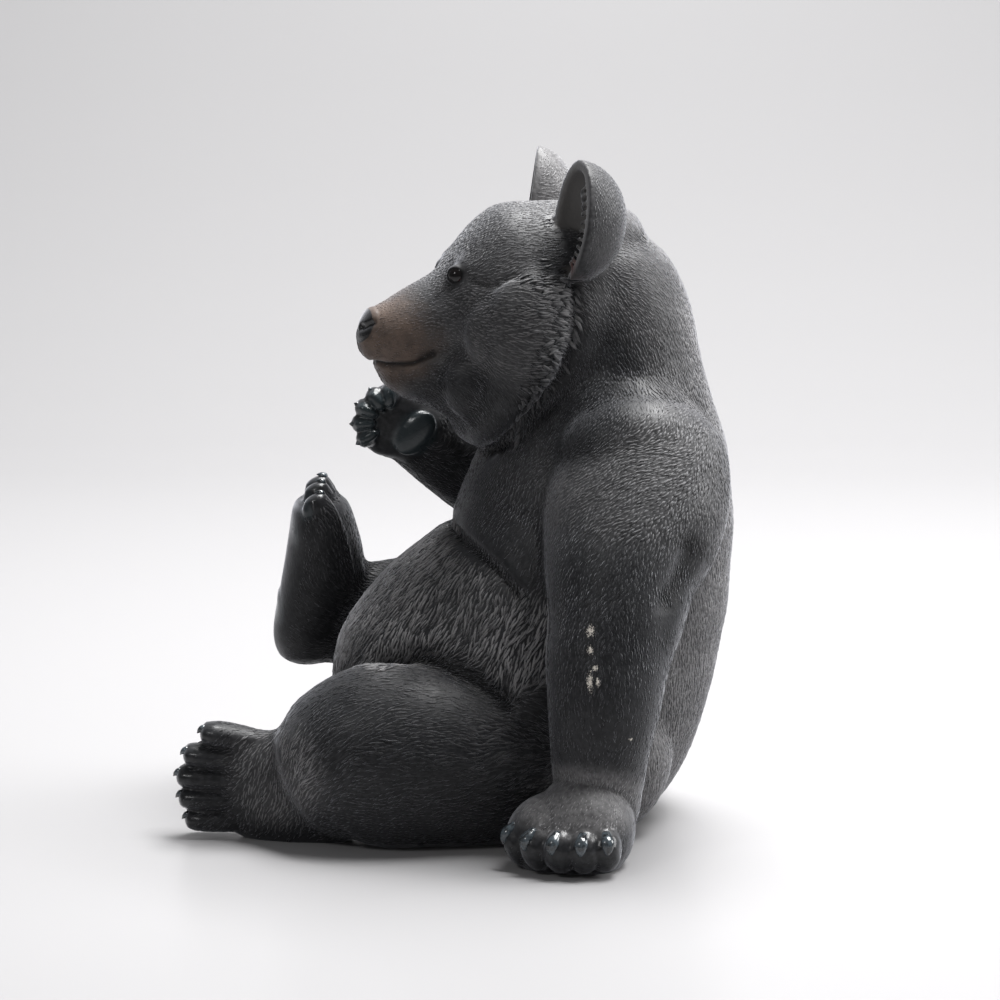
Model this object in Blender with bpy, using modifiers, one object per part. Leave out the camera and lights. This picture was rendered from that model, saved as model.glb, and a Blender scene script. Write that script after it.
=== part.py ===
"""A seated bear cub, cast in one piece and carved all over with short fur.

The cub sits on its rump and leans on its left arm, whose paw stands flat on the floor beside it.
Its left leg lies bent along the floor, the foot on its outer edge. Its right leg is held out in
front with the sole forward and the toes up, and its right hand is raised beside the chin.

+Z is up, the cub faces -X, and its left side is towards -Y. The origin is at floor level, under
the middle of the figure's box. Every place and size in the carving is a share of the height, in
`unit`s: the cub is 332 of them tall, so that at its modelled height one unit is a millimetre.
"""

import math

import bmesh
import bpy
from mathutils import Matrix, Vector
from mathutils.bvhtree import BVHTree
from mathutils.kdtree import KDTree

# Driving size, in metres
HEIGHT = 0.332  # floor to the tips of the ears

# The carver's measure, and how finely the forms are blended, in units
UNITS_TALL = 332
CLAY_GRAIN = 2.1  # voxel of the soft masses
FINE_GRAIN = 1.6  # voxel of toes, claws, ears, pads and locks
TRIANGLES = 9300

# Head
HEAD_TURN = 14  # degrees to the cub's left
HEAD_PIVOT = Vector((40, 0, 0))
EAR_RIM = Vector((26.5, 45, 303))  # middle of the rim
EAR_RADII = (24, 21.5, 30)  # depth, half width, half height
EAR_WALL = 5.5
EAR_HOLLOW = 16  # depth of the cup
EAR_OUTWARD = 7  # degrees that the cup looks to the side
EAR_LEAN = 8  # degrees that the tip leans back
EYE = Vector((-27, 19.5, 275.5))
EYE_RADIUS = 4.6
SOCKET_DEPTH = 3.0
SOCKET_WIDTH = 5.5
MOUTH_DEPTH = 1.6
MOUTH_WIDTH = 2.0

# The bib of fur over the belly, an oval whose plane tilts up to the front
BIB_MIDDLE = Vector((22, 0, 107))
BIB_RADII = (76, 62)  # across, and front to back
BIB_TILT = 41

# Paws
TOES = 5
PAW_TOE = (7.2, 8.8)  # half width and half height of the toes of the planted paw
FOOT_TOE = (5.7, 9.5)
HAND_TOE = (4.9, 5.4)
CLAW = 2.7  # half width of a claw at its root

# Fur that hangs in locks, and the folds between the masses
LOCK_WIDTH = 3.0
LOCK_THICKNESS = 1.9
FOLD_DEPTH = 3.2
FOLD_WIDTH = 4.5

unit = HEIGHT / UNITS_TALL


def clear_scene():
    for old in list(bpy.data.objects):
        bpy.data.objects.remove(old)


def collection(name):
    made = bpy.data.collections.new(name)
    bpy.context.scene.collection.children.link(made)
    return made


def new_object(name, mesh, home):
    made = bpy.data.objects.new(name, mesh)
    home.objects.link(made)
    return made


# Modelling tools. Each mass is a closed skin, kept as a bmesh until it is blended.


def between(stations, steps):
    """Catmull-Rom points through the stations, each a row of numbers."""
    rows = [Vector(station) for station in stations]
    ahead = [2 * rows[0] - rows[1], *rows, 2 * rows[-1] - rows[-2]]
    found = []
    for a, b, c, d in zip(ahead, ahead[1:], ahead[2:], ahead[3:]):
        for step in range(steps):
            t = step / steps
            bend = (c - a) * t + (2 * a - 5 * b + 4 * c - d) * t**2 + (3 * b - a - 3 * c + d) * t**3
            found.append(b + 0.5 * bend)
    return [*found, rows[-1]]


def dome(centre, along, a, b, depth):
    """Rings that close a loft over the section at `centre`, and their pole."""
    turns = [math.radians(angle) for angle in (25, 48, 70)]
    rings = [(centre + along * depth * math.sin(t), a * math.cos(t), b * math.cos(t)) for t in turns]
    return rings, centre + along * depth


def loft(stations, across=(0, 1, 0), plane=None, sides=28, steps=4, ends=0.7):
    """A closed skin through oval sections.

    A station is (x, y, z, radius along `across`, radius square to it). The sections stand square to
    the path, or to `plane` where it is given. The ends are domes, `ends` of the smaller radius deep.
    """
    centres = between([s[:3] for s in stations], steps)
    radii = between([(*s[3:], 0) for s in stations], steps)
    neighbours = zip(centres[:1] + centres, centres[1:] + centres[-1:])
    ways = [(after - before).normalized() for before, after in neighbours]
    if plane:
        ways = [Vector(plane)] * len(centres)
    rings = [(centre, way, radius[0], radius[1]) for centre, way, radius in zip(centres, ways, radii)]
    first, first_pole = dome(rings[0][0], -ways[0], *rings[0][2:], ends * min(rings[0][2:]))
    last, last_pole = dome(rings[-1][0], ways[-1], *rings[-1][2:], ends * min(rings[-1][2:]))
    front = [(c, ways[0], a, b) for c, a, b in reversed(first)]
    rear = [(c, ways[-1], a, b) for c, a, b in last]
    rings = front + rings + rear

    shape = bmesh.new()
    loops = []
    for centre, way, a, b in rings:
        side = (Vector(across) - way * Vector(across).dot(way)).normalized()
        other = way.cross(side)
        turns = [2 * math.pi * k / sides for k in range(sides)]
        points = [centre + side * a * math.cos(t) + other * b * math.sin(t) for t in turns]
        loops.append([shape.verts.new(point) for point in points])
    for near, far in zip(loops, loops[1:]):
        for k in range(sides):
            shape.faces.new((near[k], near[k - 1], far[k - 1], far[k]))
    for loop, pole in ((loops[0], first_pole), (loops[-1], last_pole)):
        tip = shape.verts.new(pole)
        for k in range(sides):
            shape.faces.new((loop[k], loop[k - 1], tip))
    bmesh.ops.recalc_face_normals(shape, faces=shape.faces)
    return shape


def turned(x=0, y=0, z=0):
    """A turn by degrees about X, then Y, then Z."""
    turns = [Matrix.Rotation(math.radians(angle), 4, axis) for angle, axis in ((z, "Z"), (y, "Y"), (x, "X"))]
    return turns[0] @ turns[1] @ turns[2]


def ball(centre, radii, turn=Matrix()):
    shape = bmesh.new()
    bmesh.ops.create_uvsphere(shape, u_segments=28, v_segments=18, radius=1)
    place = Matrix.Translation(centre) @ turn @ Matrix.Diagonal((*radii, 1))
    bmesh.ops.transform(shape, matrix=place, verts=shape.verts)
    return shape


def tapered(root, tip, bow, width, thickness, broad):
    """A pointed form, a claw or a lock of fur, that bows out by `bow` between its root and its tip.

    `broad` is the direction of its width.
    """
    root, tip, bow = Vector(root), Vector(tip), Vector(bow)
    shares = ((0.0, 0.0, 0.7), (0.35, 1.0, 1.0), (0.7, 0.8, 0.7), (1.0, 0.0, 0.2))
    stations = [(*root.lerp(tip, s) + bow * rise, width * size, thickness * size) for s, rise, size in shares]
    return loft(stations, across=broad, sides=10, steps=2, ends=1.0)


def evaluated(made):
    """The skin of an object with its modifiers, as a bmesh. The object is removed."""
    graph = bpy.context.evaluated_depsgraph_get()
    mesh = bpy.data.meshes.new_from_object(made.evaluated_get(graph))
    shape = bmesh.new()
    shape.from_mesh(mesh)
    bpy.data.objects.remove(made)
    return shape


def blend(masses, grain, passes, home):
    """One skin around all the masses, its creases filled a little by each pass."""
    joined = bmesh.new()
    for mass in masses:
        piece = bpy.data.meshes.new("mass")
        mass.to_mesh(piece)
        joined.from_mesh(piece)
    mesh = bpy.data.meshes.new("masses")
    joined.to_mesh(mesh)
    clay = new_object("clay", mesh, home)
    remesh = clay.modifiers.new("one skin", "REMESH")
    remesh.mode = "VOXEL"
    remesh.voxel_size = grain
    smooth = clay.modifiers.new("soft creases", "SMOOTH")
    smooth.factor = 0.5
    smooth.iterations = passes
    return evaluated(clay)


def head_place():
    """Where the head, drawn straight on its own middle plane, looks."""
    return Matrix.Translation(HEAD_PIVOT) @ turned(z=HEAD_TURN) @ Matrix.Translation(-HEAD_PIVOT)


def on_head(shape):
    bmesh.ops.transform(shape, matrix=head_place(), verts=shape.verts)
    return shape


def on_side(stations, side):
    return [(x, side * y, z, *radii) for x, y, z, *radii in stations]


# The soft masses


def torso():
    """Rump, belly, chest and neck, in level sections from under the floor up."""
    levels = [
        (12, 0, -12, 54, 52),
        (11, 0, 0, 62, 60),
        (9, 0, 15, 75, 76),
        (9, 0, 36, 82, 87.5),
        (11, 0, 67, 82, 95),
        (15, 0, 90, 79, 95.5),
        (22, 0, 108, 76, 92),
        (31, 0, 127, 73, 84),
        (44.5, 0, 148, 70, 72),
        (48, 0, 167, 68, 67),
        (52, 0, 189, 64, 60.5),
        (55, 0, 210, 58, 50.5),
        (57, 0, 232, 51, 42.5),
        (55.5, 0, 258, 46, 38.5),
        (51, 0, 280, 39, 33),
        (46, 0, 291, 30, 26),
    ]
    return loft(levels, plane=(0, 0, 1), sides=40)


def chest():
    """The bib of fur that hangs over the top of the belly."""
    across, deep = BIB_RADII
    x, y, z = BIB_MIDDLE
    levels = [
        (x - 5, y, z - 6, across - 12, deep - 12),
        (x, y, z, across, deep),
        (x + 11.5, y, z + 17, across - 2, deep + 6),
        (x + 20.5, y, z + 31, across - 8, deep + 8),
    ]
    tilt = math.radians(BIB_TILT)
    return loft(levels, plane=(math.sin(tilt), 0, math.cos(tilt)), sides=40, ends=0.2)


def haunch(side):
    return ball((31, side * 44, 40), (54, 43, 48))


def shoulder_blade(side):
    return ball((68 - 2 * side, side * 33, 168), (42, 38, 52))


def skull():
    """From the back of the head to the tip of the muzzle, in upright sections."""
    sections = [
        (66, 0, 262, 27, 28),
        (58, 0, 261, 38, 41),
        (45, 0, 256, 47, 51.5),
        (30, 0, 252.5, 52, 56.5),
        (15, 0, 252, 52, 57),
        (0, 0, 253, 49, 55.5),
        (-8, 0, 256, 45, 48.5),
        (-17, 0, 258, 38.5, 38.5),
        (-25, 0, 257, 31.5, 29.5),
        (-30, 0, 254.5, 26, 25),
        (-36, 0, 252, 22.5, 22.5),
        (-45, 0, 248.5, 20.5, 21.5),
        (-53, 0, 246.5, 19.5, 19),
        (-61, 0, 244.5, 17, 16),
        (-65, 0, 244.5, 13, 13),
    ]
    return on_head(loft(sections, plane=(-1, 0, 0), sides=36))


def lower_jaw():
    sections = [
        (6, 0, 208, 36, 26),
        (-6, 0, 210, 35, 23),
        (-18, 0, 214.5, 31.5, 20),
        (-30, 0, 220, 26.5, 15),
        (-42, 0, 222, 21.5, 11.5),
        (-51, 0, 223.5, 18, 9.5),
        (-57, 0, 225.5, 13, 7),
    ]
    return on_head(loft(sections, plane=(-1, 0, 0)))


def nose():
    return on_head(ball((-65.5, 0, 251.5), (6, 11.5, 8.5), turned(y=12)))


def lips():
    """The closed lips, from below the nose back to the cheeks."""
    sections = [
        (-8, 0, 232, 40, 20),
        (-20, 0, 231, 31, 18),
        (-31, 0, 231, 25, 14),
        (-42, 0, 231, 20, 12),
        (-52, 0, 231, 17, 10.5),
        (-59, 0, 231.5, 12.5, 8),
    ]
    return on_head(loft(sections, plane=(-1, 0, 0)))


def brow(side):
    return on_head(ball((-17, side * 20, 279.5), (11, 11, 6), turned(x=-20 * side, y=35)))


def cheek(side):
    return on_head(ball((-5, side * 33, 248), (22, 15.5, 24)))


RUFF = [
    (6, 40, 279, 11, 16),
    (4, 42, 263, 13, 20),
    (3, 42.5, 247, 14, 21),
    (0, 40, 232, 14, 18),
    (-5, 34.5, 218, 13.5, 14.5),
    (-10, 27, 207, 12, 12.5),
    (-13, 14, 201, 11, 10),
    (-14, 0, 199, 10, 9),
]


def ruff(side):
    """The thick fur of the cheek, from the ear round to the throat."""
    return on_head(loft(on_side(RUFF, side)))


def left_arm():
    """Shoulder, arm and wrist of the arm that the cub leans on."""
    stations = [
        (72, -36, 198, 30, 26),
        (72, -48, 187, 40, 33),
        (67, -60, 168, 44, 36),
        (62, -72, 150, 42, 36),
        (58, -82, 135, 37, 34),
        (56, -91, 118, 33, 31),
        (52, -98, 100, 30, 28),
        (50, -104, 79, 27.5, 26),
        (48, -106, 56, 24.5, 23),
        (47, -106, 38, 22.5, 21),
        (47, -103, 22, 20, 18),
    ]
    return loft(stations, across=(1, 0, 0))


def left_leg():
    """Thigh and shank folded along the floor, the knee outwards."""
    stations = [
        (46, -42, 36, 42, 40),
        (8, -50, 37, 42, 41),
        (-15, -58, 39, 40, 43),
        (-38, -62, 43, 42, 46),
        (-60, -63, 42, 41, 46),
        (-78, -62, 37, 36, 41),
        (-90, -60, 31, 29, 33),
    ]
    return loft(stations, ends=0.5)


def left_foot():
    """The foot on its outer edge, a slab with its back to the viewer."""
    stations = [
        (-78, -60, 23, 17, 27),
        (-96, -59, 23, 17, 27),
        (-108, -57, 24, 15.5, 28),
        (-120, -55, 26.5, 13, 28),
        (-131, -53, 28, 10, 25.5),
    ]
    return loft(stations, ends=0.5)


def right_leg():
    """Thigh and shank held out in front."""
    stations = [
        (42, 38, 36, 38, 38),
        (12, 52, 52, 40, 44),
        (-16, 58, 74, 36, 43),
        (-42, 57, 87, 31, 34),
        (-62, 55, 90, 26, 28),
        (-86, 52, 89, 24, 24),
    ]
    return loft(stations)


def right_foot():
    """The raised foot, from the heel up to the roots of the toes."""
    stations = [
        (-99, 48, 74, 18, 16.5),
        (-96.5, 48, 82, 23, 20.5),
        (-93.5, 48, 95, 25, 22),
        (-91, 47, 110, 26, 21.5),
        (-90, 47, 124, 27, 20),
        (-90.5, 46, 137, 27.5, 17.5),
        (-91.5, 46, 148, 26, 15),
    ]
    return loft(stations, plane=(0, 0, 1), ends=0.5)


def right_arm():
    """Shoulder, elbow and wrist of the arm held up."""
    stations = [
        (62, 28, 198, 33, 33),
        (50, 45, 180, 35, 36),
        (34, 58, 163, 32, 32),
        (14, 64, 150, 25, 25),
        (-8, 60, 160.5, 22, 22),
        (-30, 52, 178, 21, 21),
        (-46, 43, 191, 19, 19),
    ]
    return loft(stations)


def right_hand():
    """The palm, a flat oval that faces the chin."""
    return ball((-54, 38, 194), (19, 12, 20), turned(y=38))


def soft_masses():
    both = (-1, 1)
    whole = [torso(), chest(), skull(), lower_jaw(), lips(), nose()]
    paired = [form(side) for form in (haunch, shoulder_blade, brow, cheek, ruff) for side in both]
    limbs = [left_arm(), left_leg(), left_foot(), right_leg(), right_foot(), right_arm(), right_hand()]
    return whole + paired + limbs


# The crisp forms


def toe(root, tip, size, across):
    """A blunt toe, fuller just behind its tip."""
    root, tip = Vector(root), Vector(tip)
    shares = ((0.0, 0.75), (0.45, 1.0), (0.8, 1.03), (1.0, 0.9))
    stations = [(*root.lerp(tip, s), size[0] * full, size[1] * full) for s, full in shares]
    return loft(stations, across=across, sides=18, steps=3, ends=0.65)


def planted_paw():
    """Toes of the left paw, fanned out on the floor, with a claw over the tip of each."""
    heel = Vector((46, -107.5, 0))
    forms = [ball((41, -110, 12), (25, 22, 22), turned(z=-35))]
    for k in range(TOES):
        angle = math.radians(-8 + 20.5 * k)
        reach = 31 + 3.4 * k
        way = Vector((-math.sin(angle), -math.cos(angle), 0))
        broad = (way.y, -way.x, 0)
        knuckle = heel + way * reach * 0.3 + Vector((0, 0, 22))
        tip = heel + way * reach * 0.93 + Vector((0, 0, 7.6))
        forms.append(toe(knuckle, tip, PAW_TOE, broad))
        quick = tip + way * 1.5 + Vector((0, 0, 8.5))
        forms.append(tapered(quick, quick + way * 4.6 + Vector((0, 0, -7.5)), way * 1.6, CLAW, CLAW, broad))
    return forms


def lying_foot():
    """Toes of the left foot, one above the other."""
    forms = []
    for k, reach in enumerate((-144, -152.5, -156, -155, -152)):
        height = 52.5 - 10.8 * k
        tip = Vector((reach + 4, -52, height))
        forms.append(toe((-116, -53, 48 - 10 * k), tip, FOOT_TOE, (0, 0, 1)))
        quick = tip + Vector((-3, -2, 1.5))
        forms.append(tapered(quick, quick + Vector((-7, 0, -2)), (0, 0, 1), CLAW, CLAW, (0, 1, 0)))
    return forms


def raised_foot():
    """Toes of the right foot, side by side along the top, and the pads of its sole."""
    forms = []
    for k in range(TOES):
        off = k - 2
        tip = Vector((-93.5, 47 + 10.6 * off, 160 - 1.4 * off * off))
        forms.append(toe((-83, 46 + 9.5 * off, 132), tip, (5.8, 7.2), (0, 1, 0)))
        quick = tip + Vector((4, 0, 1))
        forms.append(tapered(quick, quick + Vector((-4.5, 0, 5)), (1, 0, 0), CLAW, CLAW, (0, 1, 0)))
        forms.append(ball(tip + Vector((-4, 0, -5)), (4, 4.6, 5.5)))
    forms.append(ball((-104, 47, 136), (5.5, 21, 9), turned(y=-8)))
    forms.append(ball((-111, 48, 92), (6, 15, 14), turned(y=-8)))
    return forms


def raised_hand():
    """Fingers curled round the edge of the right palm, and its pad."""
    palm = Vector((-55, 34, 194))
    forms = [ball((-42.5, 27, 188.5), (8, 4, 13), turned(y=40))]
    for k in range(TOES):
        angle = math.radians(92 + 30 * k)
        way = Vector((math.cos(angle), 0, math.sin(angle)))
        broad = (-way.z, 0, way.x)
        tip = palm + way * 17 + Vector((0, -5, 0))
        forms.append(toe(palm + way * 7, tip, HAND_TOE, broad))
        quick = tip + way * 1.5
        nail = CLAW * 0.8
        forms.append(tapered(quick, quick + way * 3.8 + Vector((0, -2, 0)), (0, 1, 0), nail, nail, broad))
    return forms


def ear(side):
    """Half a ball, hollowed from the front."""
    rim = Vector((EAR_RIM.x, side * EAR_RIM.y, EAR_RIM.z))
    turn = turned(y=EAR_LEAN, z=-side * EAR_OUTWARD)
    shell = ball(rim, EAR_RADII, turn)
    facing = turn @ Vector((-1, 0, 0))
    whole = shell.verts[:] + shell.edges[:] + shell.faces[:]
    bmesh.ops.bisect_plane(shell, geom=whole, plane_co=rim, plane_no=facing, clear_outer=True)
    bmesh.ops.holes_fill(shell, edges=shell.edges, sides=0)
    mesh = bpy.data.meshes.new("ear")
    shell.to_mesh(mesh)
    made = new_object("ear", mesh, bpy.context.scene.collection)
    scoop_mesh = bpy.data.meshes.new("scoop")
    hollow_radii = (EAR_HOLLOW, EAR_RADII[1] - EAR_WALL, EAR_RADII[2] - EAR_WALL)
    ball(rim, hollow_radii, turn).to_mesh(scoop_mesh)
    scoop = new_object("scoop", scoop_mesh, bpy.context.scene.collection)
    cut = made.modifiers.new("cup", "BOOLEAN")
    cut.operation = "DIFFERENCE"
    cut.object = scoop
    hollow = evaluated(made)
    bpy.data.objects.remove(scoop)
    return on_head(hollow)


def eye(side):
    return on_head(ball((EYE.x, side * EYE.y, EYE.z), (EYE_RADIUS,) * 3))


# Fur that hangs in locks


def fringe(skin, path, count, fall, length, lift=1.2):
    """Locks of fur in a row along a path on the skin, each hanging towards `fall`."""
    forms = []
    line = between(path, 12)
    for k in range(count):
        share = (k + 0.5) / count * (len(line) - 1)
        place, out, _, _ = skin.find_nearest(line[round(share)])
        down = Vector(fall) - out * Vector(fall).dot(out)
        down.normalize()
        sway = down.cross(out) * (0.25 if k % 2 else -0.2)
        reach = length * (1.0 if k % 2 else 0.8)
        root = place - (down * 0.4) * reach - out * 1.0
        tip = place + (down * 0.6 + sway * 0.5) * reach + out * 0.8
        forms.append(tapered(root, tip, out * lift, LOCK_WIDTH, LOCK_THICKNESS, down.cross(out)))
    return forms


def fold_path(side):
    """The lower edge of the bib, from the middle of the chest to under the arm."""
    tilt = math.radians(BIB_TILT)
    forward = Vector((-math.cos(tilt), 0, math.sin(tilt))) * BIB_RADII[1]
    sideways = Vector((0, side * BIB_RADII[0], 0))
    turns = [math.radians(angle) for angle in (0, 17, 34, 51, 66)]
    below = BIB_MIDDLE - Vector((2, 0, 3))
    return [below + forward * math.cos(turn) + sideways * math.sin(turn) for turn in turns]


def mouth_path(side):
    line = [(-61, 5, 229), (-54, 14, 229), (-44, 20, 230.5), (-32, 25, 235)]
    return [head_place() @ Vector((x, side * y, z)) for x, y, z in line]


def locks(skin):
    forms = []
    for side in (-1, 1):
        spine = [Vector(station[:3]) for station in on_side(RUFF, side)]
        for back, out, count, length in ((19, 4, 13, 15), (12, 9, 12, 15), (4, 12, 10, 13), (-5, 12, 8, 11)):
            path = [head_place() @ (point + Vector((back, side * out, 0))) for point in spine[:-2]]
            forms += fringe(skin, path, count, (0.7, side * 0.1, -0.75), length)
    return forms


def crease(figure, path, depth, width):
    """Presses a groove into the skin along a path."""
    line = between(path, 16)
    tree = KDTree(len(line))
    for i, point in enumerate(line):
        tree.insert(point, i)
    tree.balance()
    figure.normal_update()
    for vert in figure.verts:
        _, _, away = tree.find(vert.co)
        if away < 3 * width:
            vert.co -= vert.normal * depth * math.exp(-((away / width) ** 2))


def carve(figure, skin):
    for side in (-1, 1):
        fold = [skin.find_nearest(Vector(point))[0] for point in fold_path(side)]
        crease(figure, fold, FOLD_DEPTH, FOLD_WIDTH)
        lips = [skin.find_nearest(point)[0] for point in mouth_path(side)]
        crease(figure, lips, MOUTH_DEPTH, MOUTH_WIDTH)


def paint():
    made = bpy.data.materials.new("painted_resin")
    made.use_nodes = True
    surface = made.node_tree.nodes["Principled BSDF"]
    surface.inputs["Base Color"].default_value = (0.022, 0.023, 0.025, 1)
    surface.inputs["Roughness"].default_value = 0.5
    surface.inputs["Metallic"].default_value = 0
    return made


def floor_cutter(home):
    """Everything below the floor, so that the figure stands on a flat underside."""
    mesh = bpy.data.meshes.new("floor_cutter")
    block = bmesh.new()
    bmesh.ops.create_cube(block, size=HEIGHT * 2)
    bmesh.ops.translate(block, vec=(0, 0, -HEIGHT), verts=block.verts)
    block.to_mesh(mesh)
    cutter = new_object("floor_cutter", mesh, home)
    cutter.hide_render = True
    cutter.display_type = "WIRE"
    return cutter


def stand_over_origin(statue):
    """Moves the statue along the floor, so that the origin is under the middle of its box."""
    graph = bpy.context.evaluated_depsgraph_get()
    corners = [Vector(corner) for corner in statue.evaluated_get(graph).bound_box]
    middle = (corners[0] + corners[6]) / 2
    statue.location = (-middle.x, -middle.y, 0)


def build():
    clear_scene()
    statue_home = collection("bear_statue")
    cutters = collection("cutters")
    clay = blend(soft_masses(), CLAY_GRAIN, 9, statue_home)
    for side in (-1, 1):
        socket = head_place() @ Vector((EYE.x, side * EYE.y, EYE.z))
        crease(clay, [socket, socket], SOCKET_DEPTH, SOCKET_WIDTH)
    skin = BVHTree.FromBMesh(clay)
    crisp = [clay, ear(-1), ear(1), eye(-1), eye(1)]
    crisp += planted_paw() + lying_foot() + raised_foot() + raised_hand() + locks(skin)
    figure = blend(crisp, FINE_GRAIN, 2, statue_home)
    carve(figure, skin)
    bmesh.ops.scale(figure, vec=(unit, unit, unit), verts=figure.verts)
    mesh = bpy.data.meshes.new("bear_statue")
    figure.to_mesh(mesh)
    mesh.shade_smooth()
    mesh.materials.append(paint())
    statue = new_object("bear_statue", mesh, statue_home)
    fewer = statue.modifiers.new("fewer faces", "DECIMATE")
    fewer.ratio = TRIANGLES / (2 * len(mesh.polygons))
    flat = statue.modifiers.new("flat underside", "BOOLEAN")
    flat.operation = "DIFFERENCE"
    flat.solver = "EXACT"
    flat.object = floor_cutter(cutters)
    stand_over_origin(statue)


build()
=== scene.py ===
import math
import random

import bmesh
import bpy
import numpy as np
from mathutils import Matrix, Vector
from mathutils.bvhtree import BVHTree
from mathutils.kdtree import KDTree


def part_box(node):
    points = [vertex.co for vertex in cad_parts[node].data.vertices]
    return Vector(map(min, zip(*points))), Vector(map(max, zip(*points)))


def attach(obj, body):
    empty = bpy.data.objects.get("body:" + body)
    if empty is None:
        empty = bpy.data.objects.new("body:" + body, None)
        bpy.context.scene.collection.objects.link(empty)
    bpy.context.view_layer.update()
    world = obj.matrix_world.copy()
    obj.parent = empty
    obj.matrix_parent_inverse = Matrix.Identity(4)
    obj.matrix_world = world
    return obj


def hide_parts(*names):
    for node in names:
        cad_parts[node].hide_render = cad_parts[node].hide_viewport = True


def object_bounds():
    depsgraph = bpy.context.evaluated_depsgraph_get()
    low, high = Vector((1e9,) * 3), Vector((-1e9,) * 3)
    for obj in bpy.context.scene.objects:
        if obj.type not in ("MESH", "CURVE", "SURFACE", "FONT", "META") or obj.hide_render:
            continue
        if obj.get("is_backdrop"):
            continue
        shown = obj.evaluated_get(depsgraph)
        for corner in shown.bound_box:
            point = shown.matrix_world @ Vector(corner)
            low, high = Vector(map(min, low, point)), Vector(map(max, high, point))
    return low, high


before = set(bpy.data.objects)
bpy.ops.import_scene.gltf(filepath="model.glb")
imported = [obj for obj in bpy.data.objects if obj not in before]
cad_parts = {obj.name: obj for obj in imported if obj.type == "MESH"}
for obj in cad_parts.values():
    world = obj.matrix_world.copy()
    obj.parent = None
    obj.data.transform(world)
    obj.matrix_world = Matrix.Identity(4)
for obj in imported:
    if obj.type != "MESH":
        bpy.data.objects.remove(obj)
cad_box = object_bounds()

# The modelled cub
# The master is built up in soft masses, blended and then sharpened, in `unit`s of a 332nd of the
# height. The cub faces -X and its left side is towards -Y. The drawing is moved over the origin later.

TALL = 332.3  # units from the floor to the tips of the ears
SOFT_GRAIN = 2.1  # voxel of the soft masses, in units
CRISP_GRAIN = 0.85  # voxel of the finished surface, in units
HEAD_TURN = 14  # degrees to the cub's left
HEAD_PIVOT = Vector((40, 0, 0))
BOTH = (-1, 1)  # left and right


def new_object(name, mesh):
    made = bpy.data.objects.new(name, mesh)
    bpy.context.scene.collection.objects.link(made)
    return made


def between(stations, steps):
    """Catmull-Rom points through the stations, each a row of numbers."""
    rows = [Vector(station) for station in stations]
    ahead = [2 * rows[0] - rows[1], *rows, 2 * rows[-1] - rows[-2]]
    found = []
    for a, b, c, d in zip(ahead, ahead[1:], ahead[2:], ahead[3:]):
        for step in range(steps):
            t = step / steps
            bend = (c - a) * t + (2 * a - 5 * b + 4 * c - d) * t**2 + (3 * b - a - 3 * c + d) * t**3
            found.append(b + 0.5 * bend)
    return [*found, rows[-1]]


def dome(centre, along, a, b, depth):
    turns = [math.radians(angle) for angle in (25, 48, 70)]
    rings = [(centre + along * depth * math.sin(t), a * math.cos(t), b * math.cos(t)) for t in turns]
    return rings, centre + along * depth


def loft(stations, across=(0, 1, 0), plane=None, sides=32, steps=5, ends=0.7):
    """A closed skin through ovals. A station is (x, y, z, radius along `across`, radius square to it)."""
    centres = between([s[:3] for s in stations], steps)
    radii = between([(*s[3:], 0) for s in stations], steps)
    neighbours = zip(centres[:1] + centres, centres[1:] + centres[-1:])
    ways = [(after - before).normalized() for before, after in neighbours]
    if plane:
        ways = [Vector(plane)] * len(centres)
    rings = [(centre, way, radius[0], radius[1]) for centre, way, radius in zip(centres, ways, radii)]
    first, first_pole = dome(rings[0][0], -ways[0], *rings[0][2:], ends * min(rings[0][2:]))
    last, last_pole = dome(rings[-1][0], ways[-1], *rings[-1][2:], ends * min(rings[-1][2:]))
    front = [(c, ways[0], a, b) for c, a, b in reversed(first)]
    rings = front + rings + [(c, ways[-1], a, b) for c, a, b in last]
    shape = bmesh.new()
    loops = []
    for centre, way, a, b in rings:
        side = (Vector(across) - way * Vector(across).dot(way)).normalized()
        other = way.cross(side)
        turns = [2 * math.pi * k / sides for k in range(sides)]
        points = [centre + side * a * math.cos(t) + other * b * math.sin(t) for t in turns]
        loops.append([shape.verts.new(point) for point in points])
    for near, far in zip(loops, loops[1:]):
        for k in range(sides):
            shape.faces.new((near[k], near[k - 1], far[k - 1], far[k]))
    for loop, pole in ((loops[0], first_pole), (loops[-1], last_pole)):
        tip = shape.verts.new(pole)
        for k in range(sides):
            shape.faces.new((loop[k], loop[k - 1], tip))
    bmesh.ops.recalc_face_normals(shape, faces=shape.faces)
    return shape


def turned(x=0, y=0, z=0):
    turns = [Matrix.Rotation(math.radians(angle), 4, axis) for angle, axis in ((z, "Z"), (y, "Y"), (x, "X"))]
    return turns[0] @ turns[1] @ turns[2]


def ball(centre, radii, turn=Matrix(), rounds=32):
    shape = bmesh.new()
    bmesh.ops.create_uvsphere(shape, u_segments=rounds, v_segments=rounds * 2 // 3, radius=1)
    place = Matrix.Translation(centre) @ turn @ Matrix.Diagonal((*radii, 1))
    bmesh.ops.transform(shape, matrix=place, verts=shape.verts)
    return shape


def tapered(root, tip, bow, width, thickness, broad, sides=12, steps=3):
    """A pointed form, a claw or a lock of fur, that bows out by `bow` between its root and its tip."""
    root, tip, bow = Vector(root), Vector(tip), Vector(bow)
    shares = ((0.0, 0.0, 0.7), (0.35, 1.0, 1.0), (0.7, 0.8, 0.7), (1.0, 0.0, 0.2))
    stations = [(*root.lerp(tip, s) + bow * rise, width * size, thickness * size) for s, rise, size in shares]
    return loft(stations, across=broad, sides=sides, steps=steps, ends=1.0)


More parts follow.
